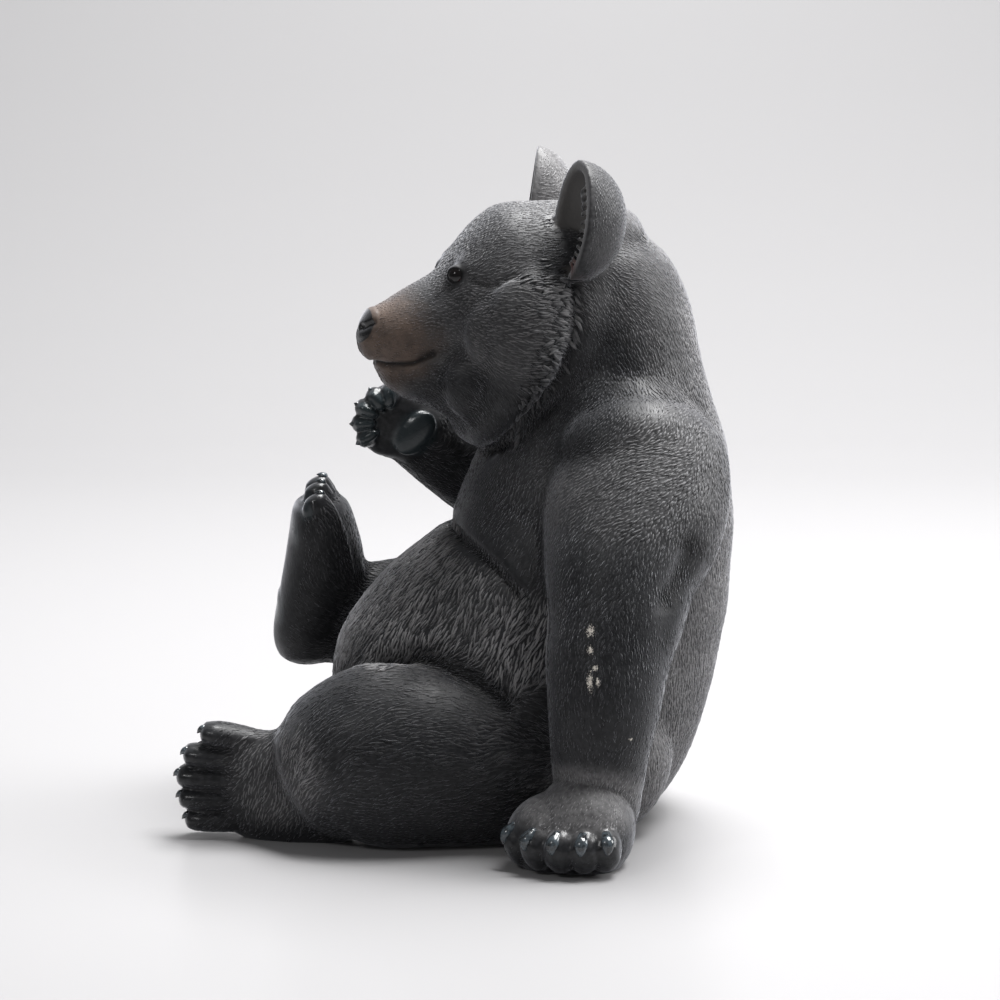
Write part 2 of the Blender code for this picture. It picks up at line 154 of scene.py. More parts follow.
def joined(shapes, name):
    """One mesh of all the shapes, which stay separate skins."""
    together = bmesh.new()
    for shape in shapes:
        piece = bpy.data.meshes.new("piece")
        shape.to_mesh(piece)
        together.from_mesh(piece)
    mesh = bpy.data.meshes.new(name)
    together.to_mesh(mesh)
    return mesh


def evaluated(made, name):
    """The object's mesh with its modifiers. The object is removed."""
    graph = bpy.context.evaluated_depsgraph_get()
    mesh = bpy.data.meshes.new_from_object(made.evaluated_get(graph))
    mesh.name = name
    bpy.data.objects.remove(made)
    return mesh


def as_shape(mesh):
    shape = bmesh.new()
    shape.from_mesh(mesh)
    return shape


def blend(masses, grain, passes, name):
    """One skin around all the masses, its creases filled a little by each pass."""
    clay = new_object("clay", joined(masses, "masses"))
    remesh = clay.modifiers.new("one skin", "REMESH")
    remesh.mode = "VOXEL"
    remesh.voxel_size = grain
    smooth = clay.modifiers.new("soft creases", "SMOOTH")
    smooth.factor = 0.5
    smooth.iterations = passes
    return evaluated(clay, name)


def keep_largest_skin(shape):
    """Clears the specks that the blending leaves beside the skin."""
    unseen = set(shape.verts)
    groups = []
    for start in shape.verts:
        if start not in unseen:
            continue
        unseen.remove(start)
        reached = [start]
        for vert in reached:
            for edge in vert.link_edges:
                other = edge.other_vert(vert)
                if other in unseen:
                    unseen.remove(other)
                    reached.append(other)
        groups.append(reached)
    specks = [vert for group in sorted(groups, key=len)[:-1] for vert in group]
    bmesh.ops.delete(shape, geom=specks, context="VERTS")


head_place = Matrix.Translation(HEAD_PIVOT) @ turned(z=HEAD_TURN) @ Matrix.Translation(-HEAD_PIVOT)


def on_head(shape):
    bmesh.ops.transform(shape, matrix=head_place, verts=shape.verts)
    return shape


def on_side(stations, side):
    return [(x, side * y, z, *radii) for x, y, z, *radii in stations]


def torso():
    levels = [
        (12, 0, -12, 54, 52),
        (11, 0, 0, 62, 60),
        (9, 0, 15, 75, 76),
        (9, 0, 36, 82, 87.5),
        (11, 0, 67, 82, 95),
        (15, 0, 90, 79, 95.5),
        (22, 0, 108, 76, 92),
        (31, 0, 127, 73, 84),
        (44.5, 0, 148, 70, 72),
        (48, 0, 167, 68, 67),
        (52, 0, 189, 64, 60.5),
        (55, 0, 210, 58, 50.5),
        (57, 0, 232, 51, 42.5),
        (55.5, 0, 258, 46, 38.5),
        (51, 0, 280, 39, 33),
        (46, 0, 291, 30, 26),
    ]
    return loft(levels, plane=(0, 0, 1), sides=48)


BIB_MIDDLE = Vector((22, 0, 107))
BIB_RADII = (76, 62)
BIB_TILT = math.radians(41)


def chest():
    """The bib of fur that hangs over the top of the belly."""
    across, deep = BIB_RADII
    x, y, z = BIB_MIDDLE
    levels = [
        (x - 5, y, z - 6, across - 12, deep - 12),
        (x, y, z, across, deep),
        (x + 11.5, y, z + 17, across - 2, deep + 6),
        (x + 20.5, y, z + 31, across - 8, deep + 8),
    ]
    return loft(levels, plane=(math.sin(BIB_TILT), 0, math.cos(BIB_TILT)), sides=48, ends=0.2)


def haunch(side):
    return ball((31, side * 44, 40), (54, 43, 48))


def shoulder_blade(side):
    return ball((68 - 2 * side, side * 33, 168), (42, 38, 52))


def skull():
    sections = [
        (66, 0, 262, 27, 28),
        (58, 0, 261, 38, 41),
        (45, 0, 256, 47, 51.5),
        (30, 0, 252.5, 52, 56.5),
        (15, 0, 252, 52, 57),
        (0, 0, 253, 49, 55.5),
        (-8, 0, 256, 45, 48.5),
        (-17, 0, 258, 38.5, 38.5),
        (-25, 0, 257, 31.5, 29.5),
        (-30, 0, 254.5, 26, 25),
        (-36, 0, 252, 22.5, 22.5),
        (-45, 0, 248.5, 20.5, 21.5),
        (-53, 0, 246.5, 19.5, 19),
        (-61, 0, 244.5, 17, 16),
        (-65, 0, 244.5, 13, 13),
    ]
    return on_head(loft(sections, plane=(-1, 0, 0), sides=44))


def lower_jaw():
    sections = [
        (6, 0, 208, 36, 26),
        (-6, 0, 210, 35, 23),
        (-18, 0, 214.5, 31.5, 20),
        (-30, 0, 220, 26.5, 15),
        (-42, 0, 222, 21.5, 11.5),
        (-51, 0, 223.5, 18, 9.5),
        (-57, 0, 225.5, 13, 7),
    ]
    return on_head(loft(sections, plane=(-1, 0, 0)))


def lips():
    sections = [
        (-8, 0, 232, 40, 20),
        (-20, 0, 231, 31, 18),
        (-31, 0, 231, 25, 14),
        (-42, 0, 231, 20, 12),
        (-52, 0, 231, 17, 10.5),
        (-59, 0, 231.5, 12.5, 8),
    ]
    return on_head(loft(sections, plane=(-1, 0, 0)))


def nose():
    return on_head(ball((-65.5, 0, 251.5), (6, 11.5, 8.5), turned(y=12)))


def brow(side):
    return on_head(ball((-18, side * 18, 280.5), (12, 10, 6.5), turned(x=-20 * side, y=-24)))


def cheek(side):
    return on_head(ball((-5, side * 33, 248), (22, 15.5, 24)))


RUFF = [
    (7, 38, 275, 9, 12),
    (4, 42, 263, 13, 20),
    (3, 42.5, 247, 14, 21),
    (0, 40, 232, 14, 18),
    (-5, 34.5, 218, 13.5, 14.5),
    (-10, 27, 207, 12, 12.5),
    (-13, 14, 201, 11, 10),
    (-14, 0, 199, 10, 9),
]


def ruff(side):
    """The thick fur of the cheek, from the ear round to the throat."""
    return on_head(loft(on_side(RUFF, side)))


def throat_fill(side):
    return on_head(ball((-20, side * 26, 222), (16, 12, 18)))


NECK_FILLS = {-1: (60, -40, 207), 1: (50, 35, 207)}


def neck_fill(side):
    return ball(NECK_FILLS[side], (33, 23, 24))


def shoulder_fill():
    """The left arm carries the cub's weight, so that shoulder is pushed up towards the neck."""
    return ball((66, -54, 193), (37, 28, 27))


def left_arm():
    stations = [
        (72, -36, 198, 30, 26),
        (72, -48, 187, 40, 33),
        (67, -60, 168, 44, 36),
        (62, -72, 150, 42, 36),
        (58, -82, 135, 37, 34),
        (56, -91, 118, 33, 31),
        (52, -98, 100, 30, 28),
        (50, -104, 79, 27.5, 26),
        (48, -104, 58, 24.5, 22),
        (47.5, -101, 42, 22.5, 20),
        (47, -99, 22, 20, 18),
    ]
    return loft(stations, across=(1, 0, 0))


def left_leg():
    stations = [
        (46, -42, 36, 42, 40),
        (8, -50, 37, 42, 41),
        (-15, -58, 39, 40, 43),
        (-38, -62, 43, 42, 46),
        (-60, -63, 42, 41, 46),
        (-78, -62, 37, 36, 41),
        (-90, -60, 31, 29, 33),
    ]
    return loft(stations, ends=0.5)


def left_foot():
    stations = [
        (-78, -60, 23, 17, 27),
        (-96, -59, 23, 17, 27),
        (-108, -57, 24, 15.5, 28),
        (-120, -55, 26.5, 13, 28),
        (-131, -53, 28, 10, 25.5),
    ]
    return loft(stations, ends=0.5)


def right_leg():
    stations = [
        (42, 38, 36, 38, 38),
        (12, 52, 52, 40, 44),
        (-16, 58, 74, 36, 43),
        (-42, 57, 87, 31, 34),
        (-62, 55, 90, 26, 28),
        (-86, 52, 89, 24, 24),
    ]
    return loft(stations)


def right_foot():
    stations = [
        (-99, 48, 74, 18, 16.5),
        (-96.5, 48, 82, 23, 20.5),
        (-93.5, 48, 95, 25, 22),
        (-91, 47, 110, 26, 21.5),
        (-90, 47, 124, 27, 20),
        (-90.5, 46, 137, 27.5, 17.5),
        (-91.5, 46, 148, 26, 15),
    ]
    return loft(stations, plane=(0, 0, 1), ends=0.5)


def right_arm():
    stations = [
        (62, 28, 198, 33, 33),
        (50, 45, 180, 35, 36),
        (34, 58, 163, 32, 32),
        (14, 64, 150, 25, 25),
        (-8, 60, 160.5, 22, 22),
        (-30, 52, 178, 21, 21),
        (-46, 43, 191, 19, 19),
    ]
    return loft(stations)


def right_hand():
    return ball((-54, 38, 194), (19, 12, 20), turned(y=38))


# Toes and pads
# Each paw has five blunt toes, and the raised sole and palm have pads. The claws are painted in gloss,
# so they are worked with their own section below, and each toe keeps where its claw grows.

PAW_TOE = (8.0, 10.5)  # half width and half height
FOOT_TOE = (6.0, 9.5)
SOLE_TOE = (5.8, 7.2)
HAND_TOE = (4.9, 5.4)
claws = []  # (root, tip, bow, half width, half thickness, direction of the width)
pads = []  # (middle, radii, turn)


def toe(root, tip, size, across):
    """A blunt toe, fuller just behind its tip."""
    root, tip = Vector(root), Vector(tip)
    shares = ((0.0, 0.75), (0.45, 1.0), (0.8, 1.03), (1.0, 0.9))
    stations = [(*root.lerp(tip, s), size[0] * full, size[1] * full) for s, full in shares]
    return loft(stations, across=across, sides=24, steps=4, ends=0.65)


def planted_paw():
    heel = Vector((46, -107.5, 0))
    forms = [ball((40, -110, 18), (25, 28, 26)), ball((27, -112, 15), (24, 21, 21))]
    for k in range(5):
        angle = math.radians(-8 + 20.5 * k)
        reach = 31 + 3.0 * k
        way = Vector((-math.sin(angle), -math.cos(angle), 0))
        broad = Vector((way.y, -way.x, 0))
        knuckle = heel + way * reach * 0.4 + Vector((0, 0, 20))
        tip = heel + way * reach * 0.94 + Vector((0, 0, 10.5))
        forms.append(toe(knuckle, tip, PAW_TOE, broad))
        quick = tip + way * 0.4 + Vector((0, 0, 11.0))
        claws.append((quick, quick + way * 4.2 + Vector((0, 0, -9.5)), way * 2.6, 3.3, 2.5, broad))
    return forms


def lying_foot():
    forms = []
    for k, reach in enumerate((-144, -152.5, -156, -155, -152)):
        tip = Vector((reach + 0.2, -53, 52.0 - 10.8 * k))
        forms.append(toe((-116, -54, 48 - 10 * k), tip, FOOT_TOE, (0, 0, 1)))
        quick = tip + Vector((0.4, -2.4, 2.6))
        claws.append((quick, tip + Vector((-4.6, -2.2, 0.4)), Vector((-0.5, -0.6, 0.7)), 2.0, 1.9, (0, 1, 0)))
    return forms


def raised_foot():
    forms = []
    for off in range(-2, 3):
        tip = Vector((-93.5, 47 + 10.6 * off, 160 - 1.4 * off * off))
        forms.append(toe((-83, 46 + 9.5 * off, 132), tip, SOLE_TOE, (0, 1, 0)))
        quick = tip + Vector((3.5, 0, 1.5))
        claws.append((quick, quick + Vector((-3.5, 0, 3)), Vector((1, 0, 1)), 1.9, 1.7, (0, 1, 0)))
        pads.append((tip + Vector((-3.4, 0, -5)), (3.2, 4.0, 5.2), Matrix()))
    pads.append((Vector((-103.0, 47, 136)), (3.6, 19, 9.5), turned(y=-8)))
    pads.append((Vector((-110.2, 48, 92)), (4.0, 13.5, 15), turned(y=-8)))
    return forms


def raised_hand():
    palm = Vector((-55, 34, 194))
    forms = []
    pads.append((Vector((-42.5, 27.6, 188.5)), (8, 2.9, 13), turned(y=40)))
    for k in range(5):
        angle = math.radians(92 + 30 * k)
        way = Vector((math.cos(angle), 0, math.sin(angle)))
        broad = Vector((-way.z, 0, way.x))
        tip = palm + way * 17 + Vector((0, -5, 0))
        forms.append(toe(palm + way * 7, tip, HAND_TOE, broad))
        pads.append((palm + way * 13 + Vector((0, -8.6, 0)), (5.5, 2.2, 2.6), turned(y=-math.degrees(angle))))
        quick = tip + way * 1.0 + Vector((0, 2, 0))
        claws.append((quick, quick + way * 3.0 + Vector((0, -2.6, 0)), way.cross(broad) * 0.8, 1.7, 1.5, broad))
    return forms


# Ears
# Each ear is half a ball, hollowed from the front to a wall of a few millimetres. Carved tufts grow
# inside it from the front edge.

EAR_RIMS = {-1: Vector((23, -45, 303)), 1: Vector((25.2, 45, 303.6))}  # middle of each rim
EAR_DEPTHS = {-1: 27.5, 1: 23}
EAR_OUTWARDS = {-1: 8, 1: 14}  # degrees that each looks out to its side
EAR_RADII = (21.5, 30)
EAR_WALL = 5.0
EAR_HOLLOW = 17
EAR_LEAN = 8
TUFT_DEPTHS = {-1: 0.9, 1: 4.0}  # how far the tufts grow behind each rim


def ear_frame(side):
    """Where an ear's rim is, and how it looks."""
    return EAR_RIMS[side], turned(y=EAR_LEAN, z=-side * EAR_OUTWARDS[side])


def ear(side):
    rim, turn = ear_frame(side)
    shell = ball(rim, (EAR_DEPTHS[side], *EAR_RADII), turn, rounds=60)
    facing = turn @ Vector((-1, 0, 0))
    whole = shell.verts[:] + shell.edges[:] + shell.faces[:]
    bmesh.ops.bisect_plane(shell, geom=whole, plane_co=rim, plane_no=facing, clear_outer=True)
    bmesh.ops.holes_fill(shell, edges=shell.edges, sides=0)
    bmesh.ops.recalc_face_normals(shell, faces=shell.faces)
    made = new_object("ear", joined([shell], "ear"))
    hollow = (EAR_HOLLOW, EAR_RADII[0] - EAR_WALL, EAR_RADII[1] - EAR_WALL)
    scoop = new_object("scoop", joined([ball(rim, hollow, turn, rounds=60)], "scoop"))
    cut = made.modifiers.new("cup", "BOOLEAN")
    cut.operation = "DIFFERENCE"
    cut.object = scoop
    cupped = evaluated(made, "cupped ear")
    bpy.data.objects.remove(scoop)
    return on_head(as_shape(cupped))


def ear_tufts(side):
    """Small locks that stand inside the ear, along its front edge."""
    rim, turn = ear_frame(side)
    forms = []
    for k in range(11):
        angle = math.radians(-62 + 11 * k)
        spot = Vector((TUFT_DEPTHS[side], side * 15.5 * math.cos(angle), 24 * math.sin(angle)))
        root = rim + turn @ spot
        tip = rim + turn @ (spot * 0.72 + Vector((1.0, 0, -2)))
        forms.append(on_head(tapered(root, tip, (-1.4, 0, 0), 1.3, 1.0, (0, 0.3, 1))))
    return forms


# Eyes
# Each pair of lids is a low dome with an oval opening. The eyeballs themselves are in gloss, below.

EYES = {-1: Vector((-27.2, -18.4, 275.4)), 1: Vector((-25.2, 17.2, 275.2))}
EYE_RADIUS = 4.6
LID_RADIUS = 5.4
EYE_OPENING = (5.8, 4.4, 3.6)  # half length, half height and depth of what is cut from the lids
EYE_LOOK = Vector((-0.62, 0.78, 0.08)).normalized()  # outwards, on the cub's right side


def lids(side):
    centre = EYES[side]
    look = Vector((EYE_LOOK.x, side * EYE_LOOK.y, EYE_LOOK.z))
    along = Vector((0, 0, 1)).cross(look).normalized()
    turn = Matrix((along, look.cross(along), look)).transposed().to_4x4()
    made = new_object("lids", joined([ball(centre, (LID_RADIUS,) * 3, rounds=60)], "lids"))
    opening = ball(centre + look * LID_RADIUS, EYE_OPENING, turn, rounds=60)
    knife = new_object("opening", joined([opening], "opening"))
    cut = made.modifiers.new("opening", "BOOLEAN")
    cut.operation = "DIFFERENCE"
    cut.object = knife
    opened = evaluated(made, "opened lids")
    bpy.data.objects.remove(knife)
    return on_head(as_shape(opened))


# The cast
# One hollow resin casting, closed and flat below. The soft masses are blended first, then toes, ears
# and lids are added in crisp form, and last the folds, the mouth and the nostrils are pressed in.

FOLD_DEPTH = 3.0
FOLD_WIDTH = 3.2
CAST_TRIANGLES = 190_000
FUR_ROOM = 0.9975  # share of the solid's size that leaves room for the raised fur
DRAWN_MIDDLE = (-22.2, -26.0)  # middle of the drawing, which goes over the origin

soft_forms = [torso(), chest(), shoulder_fill(), skull(), lower_jaw(), lips(), nose()]
for form in (haunch, shoulder_blade, brow, cheek, ruff, throat_fill, neck_fill):
    soft_forms += [form(side) for side in BOTH]
soft_forms += [left_arm(), left_leg(), left_foot(), right_leg(), right_foot(), right_arm(), right_hand()]
soft = blend(soft_forms, SOFT_GRAIN, 9, "soft masses")


class Surface:
    """A mesh's points and normals as arrays, to be pressed and painted."""

    def __init__(self, mesh):
        self.mesh = mesh
        self.points = np.empty(len(mesh.vertices) * 3, np.float32)
        mesh.vertices.foreach_get("co", self.points)
        self.points = self.points.reshape(-1, 3)

    def near(self, path, width):
        """How close each point is to a path: 1 on it, falling away over `width`."""
        line = np.array([tuple(point) for point in path], np.float32)
        close = np.zeros(len(self.points), np.float32)
        low, high = line.min(0) - 3 * width, line.max(0) + 3 * width
        some = np.flatnonzero(((self.points > low) & (self.points < high)).all(1))
        if len(some):
            gaps = np.linalg.norm(self.points[some, None] - line[None], axis=2).min(1)
            close[some] = np.exp(-((gaps / width) ** 2))
        return close

    def press(self, path, depth, width):
        """Presses a groove along a path, or raises a ridge where the depth is below zero."""
        normals = np.empty(len(self.points) * 3, np.float32)
        self.mesh.update()
        self.mesh.vertices.foreach_get("normal", normals)
        close = self.near(path, width)
        self.points -= normals.reshape(-1, 3) * (depth * close)[:, None]
        self.mesh.vertices.foreach_set("co", self.points.ravel())
        self.mesh.update()
        return close


def head_path(points, side, steps=16):
    line = between([(x, side * y, z) for x, y, z in points], steps)
    return [head_place @ point for point in line]


def drawn_on(skin, path):
    return [skin.find_nearest(point)[0] for point in path]


soft_surface = Surface(soft)
for side in BOTH:
    soft_surface.press([head_place @ EYES[side]], 1.6, 5.5)
skin = BVHTree.FromBMesh(as_shape(soft))
rounded = new_object("soft masses", soft)
finer = rounded.modifiers.new("finer", "SUBSURF")
finer.levels = finer.render_levels = 1
soft = evaluated(rounded, "soft masses")

crisp_forms = [as_shape(soft), *planted_paw(), *lying_foot(), *raised_foot(), *raised_hand()]
crisp_forms += [ball(*pad) for pad in pads]
for side in BOTH:
    crisp_forms += [ear(side), lids(side), *ear_tufts(side)]
cast_mesh = blend(crisp_forms, CRISP_GRAIN, 4, "cub_cast")
surface = Surface(cast_mesh)


BIB_EDGE = [(-26, 0, 149), (-24, 14, 148), (-15, 44, 144), (-5, 59, 138), (2, 67, 131.5), (10, 72, 124)]
LAP_CREASE = [(-62, -52, 90), (-48, -62, 92.5), (-34, -67, 93), (-23, -73, 89), (-12, -77, 84), (5, -81, 73)]
ELBOW_CREASE = [(92, -96, 153), (89, -101, 144), (83, -106, 134), (78.5, -111, 126), (77, -113, 110)]
ARMPIT = [(91, -98, 150), (86, -103, 139), (80, -110, 130)]
MOUTH = [(-66, 0, 232), (-65.5, 5, 232.2), (-61.5, 11, 231.8), (-55, 15, 232.2), (-48, 17.5, 233.4), (-39.5, 19, 237.8)]
MOUTH_CORNER = [(-45, 18.2, 235), (-39.5, 19, 237.8)]
NOSTRIL = [(-72, 3.5, 249.8), (-70.5, 6.5, 250.2), (-67.5, 9.5, 252.2)]
NOSE_EDGE = [(-64.5, 0, 260.5), (-64.3, 6, 259.3), (-64, 10.5, 255.5), (-65, 11, 250), (-68, 8.5, 245.5), (-70, 3, 243)]
PHILTRUM = [(-72, 0, 247), (-70, 0, 241), (-68, 0, 236), (-66, 0, 232)]
EYE_CREASE = [(-21, 27.5, 273.5), (-16, 32, 271.5), (-9, 38, 271), (-2, 42, 273.5)]
TEAR_LINE = [(-31, 20, 273), (-36, 18.5, 268), (-40, 19, 262)]
FOOT_RIDGE = [(-82, 22, 152), (-76, 22, 142), (-71, 22, 130), (-69, 24, 118), (-66, 26, 108)]
RUFF_GROOVE = [
    (21, 48, 279),
    (23, 52, 270),
    (23.5, 53, 260),
    (22.5, 54, 250),
    (20.5, 54, 240),
    (18, 51, 229.5),
    (13.5, 49, 219),
    (7.5, 46, 209.5),
    (0, 42, 201),
    (-6, 31, 193),
    (-10.5, 16, 188),
]
black_marks_and_painted_shade = np.zeros(len(surface.points), np.float32)  # black of the mouth, nostrils and eye rims, and painted shade in the folds, creases and the groove behind the cheek fur
for side in BOTH:
    bib_edge = between([(x, side * y, z) for x, y, z in BIB_EDGE], 16)
    black_marks_and_painted_shade = np.maximum(black_marks_and_painted_shade, surface.press(drawn_on(skin, bib_edge), FOLD_DEPTH, FOLD_WIDTH) * 0.6)
    black_marks_and_painted_shade = np.maximum(black_marks_and_painted_shade, surface.press(drawn_on(skin, head_path(MOUTH, side)), 2.0, 1.25))
    black_marks_and_painted_shade = np.maximum(black_marks_and_painted_shade, surface.near(drawn_on(skin, head_path(MOUTH_CORNER, side)), 2.6) * 0.85)
    black_marks_and_painted_shade = np.maximum(black_marks_and_painted_shade, surface.press(head_path(NOSTRIL, side), 2.3, 1.4))
    surface.press(drawn_on(skin, head_path(NOSE_EDGE, side)), 0.3, 0.9)
    groove = drawn_on(skin, head_path(RUFF_GROOVE, side))
    black_marks_and_painted_shade = np.maximum(black_marks_and_painted_shade, surface.press(groove, 3.0, 3.2) * 0.6)
    surface.press(drawn_on(skin, head_path(EYE_CREASE, side)), 1.5, 2.2)
    surface.press(drawn_on(skin, head_path(TEAR_LINE, side)), 0.5, 1.6)
    eye_ring = [head_place @ EYES[side]]
    black_marks_and_painted_shade = np.maximum(black_marks_and_painted_shade, surface.near(eye_ring, 5.8) * 0.95)
philtrum = drawn_on(skin, head_path(PHILTRUM, 1))
black_marks_and_painted_shade = np.maximum(black_marks_and_painted_shade, surface.press(philtrum, 1.0, 1.1))
black_marks_and_painted_shade = np.maximum(black_marks_and_painted_shade, surface.near(philtrum, 3.0) * 0.75)
# Painted shade: the deep crease under the belly, the elbow and the armpit are darkened where shade falls
black_marks_and_painted_shade = np.maximum(black_marks_and_painted_shade, surface.press(drawn_on(skin, between(LAP_CREASE, 16)), 4.2, 4.4))
black_marks_and_painted_shade = np.maximum(black_marks_and_painted_shade, surface.press(drawn_on(skin, between(ELBOW_CREASE, 16)), 1.0, 7.0) * 0.4)
black_marks_and_painted_shade = np.maximum(black_marks_and_painted_shade, surface.press(drawn_on(skin, between(ARMPIT, 8)), 2.6, 8.0) * 0.9)
surface.press(drawn_on(skin, between(FOOT_RIDGE, 16)), -0.9, 1.4)

attribute = cast_mesh.attributes.new("black_marks_and_painted_shade", "FLOAT", "POINT")
attribute.data.foreach_set("value", black_marks_and_painted_shade)
cut = as_shape(cast_mesh)
keep_largest_skin(cut)
whole = cut.verts[:] + cut.edges[:] + cut.faces[:]
bmesh.ops.bisect_plane(cut, geom=whole, plane_co=(0, 0, 0), plane_no=(0, 0, 1), clear_inner=True)
rim = [edge for edge in cut.edges if edge.is_boundary]
bmesh.ops.holes_fill(cut, edges=rim, sides=0)
bmesh.ops.triangulate(cut, faces=[face for face in cut.faces if len(face.verts) > 4])
cut.to_mesh(cast_mesh)
low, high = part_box("bear_statue")
unit = (high.z - low.z) / TALL * FUR_ROOM
over_origin = Matrix.Scale(unit, 4) @ Matrix.Translation((-DRAWN_MIDDLE[0], -DRAWN_MIDDLE[1], 0))

cast = new_object("cub_cast", cast_mesh)
fewer = cast.modifiers.new("fewer faces", "DECIMATE")
fewer.ratio = CAST_TRIANGLES / (2 * len(cast_mesh.polygons))
cast_mesh = evaluated(cast, "cub_cast")
cast = new_object("cub_cast", cast_mesh)
print("cast", len(cast_mesh.vertices), "points", len(cast_mesh.polygons), "faces")

# How the fur lies
# The carver combs the strokes over each form before cutting them. Each line here is a place on the
# cub, the way that the hair runs there, how long its strokes are, and the part of the coat it is in.

HEAD_LIES = [
    ((-56, 8, 262), (1, 0.05, 0.4), 0.45),
    ((-52, 19, 245), (1, 0.1, 0.1), 0.45),
    ((-50, 17, 234), (1, 0.1, 0.1), 0.45),
    ((-50, 12, 218), (1, 0.1, -0.3), 0.5),
    ((-30, 24, 250), (1, 0.3, -0.05), 0.55),
    ((-20, 18, 286), (0.8, 0.2, 0.45), 0.7),
    ((-5, 12, 301), (1, 0.1, 0.25), 0.8),
    ((25, 12, 309), (1, 0, 0), 0.9),
    ((-20, 33, 262), (1, 0.4, -0.2), 0.7),
    ((-8, 44, 258), (1, 0.2, -0.05), 0.9),
    ((2, 44, 282), (1, 0.1, 0.1), 0.95),
    ((12, 40, 297), (1, 0.1, 0.1), 0.9),
    ((0, 50, 240), (1, 0, -0.1), 1.1),
    ((12, 56, 270), (1, 0, 0.1), 1.6),
    ((12, 56, 248), (1, 0, 0), 1.7),
    ((8, 54, 228), (0.9, 0, -0.35), 1.6),
    ((-2, 44, 210), (0.45, 0, -0.8), 1.45),
    ((-12, 30, 201), (0.2, 0, -1), 1.2),
    ((30, 52, 240), (0.3, 0, -1), 0.6),
    ((22, 48, 215), (-0.1, 0, -1), 0.6),
    ((8, 40, 195), (-0.3, 0, -1), 0.8),
    ((-25, 24, 212), (0.9, 0, -0.5), 0.8),
    ((-14, 0, 192), (0.3, 0, -1), 1.0),
    ((34, 50, 265), (0.5, 0.1, -0.8), 0.8),
    ((60, 25, 285), (0.8, 0, -0.6), 1.0),
    ((46, 52, 300), (0.15, 0, 1), 0.5),
    ((40, 66, 300), (0.1, 0, 1), 0.5),
    ((40, 40, 325), (-0.3, 0, 1), 0.5),
    ((30, 62, 285), (0.1, 0, 1), 0.5),
]
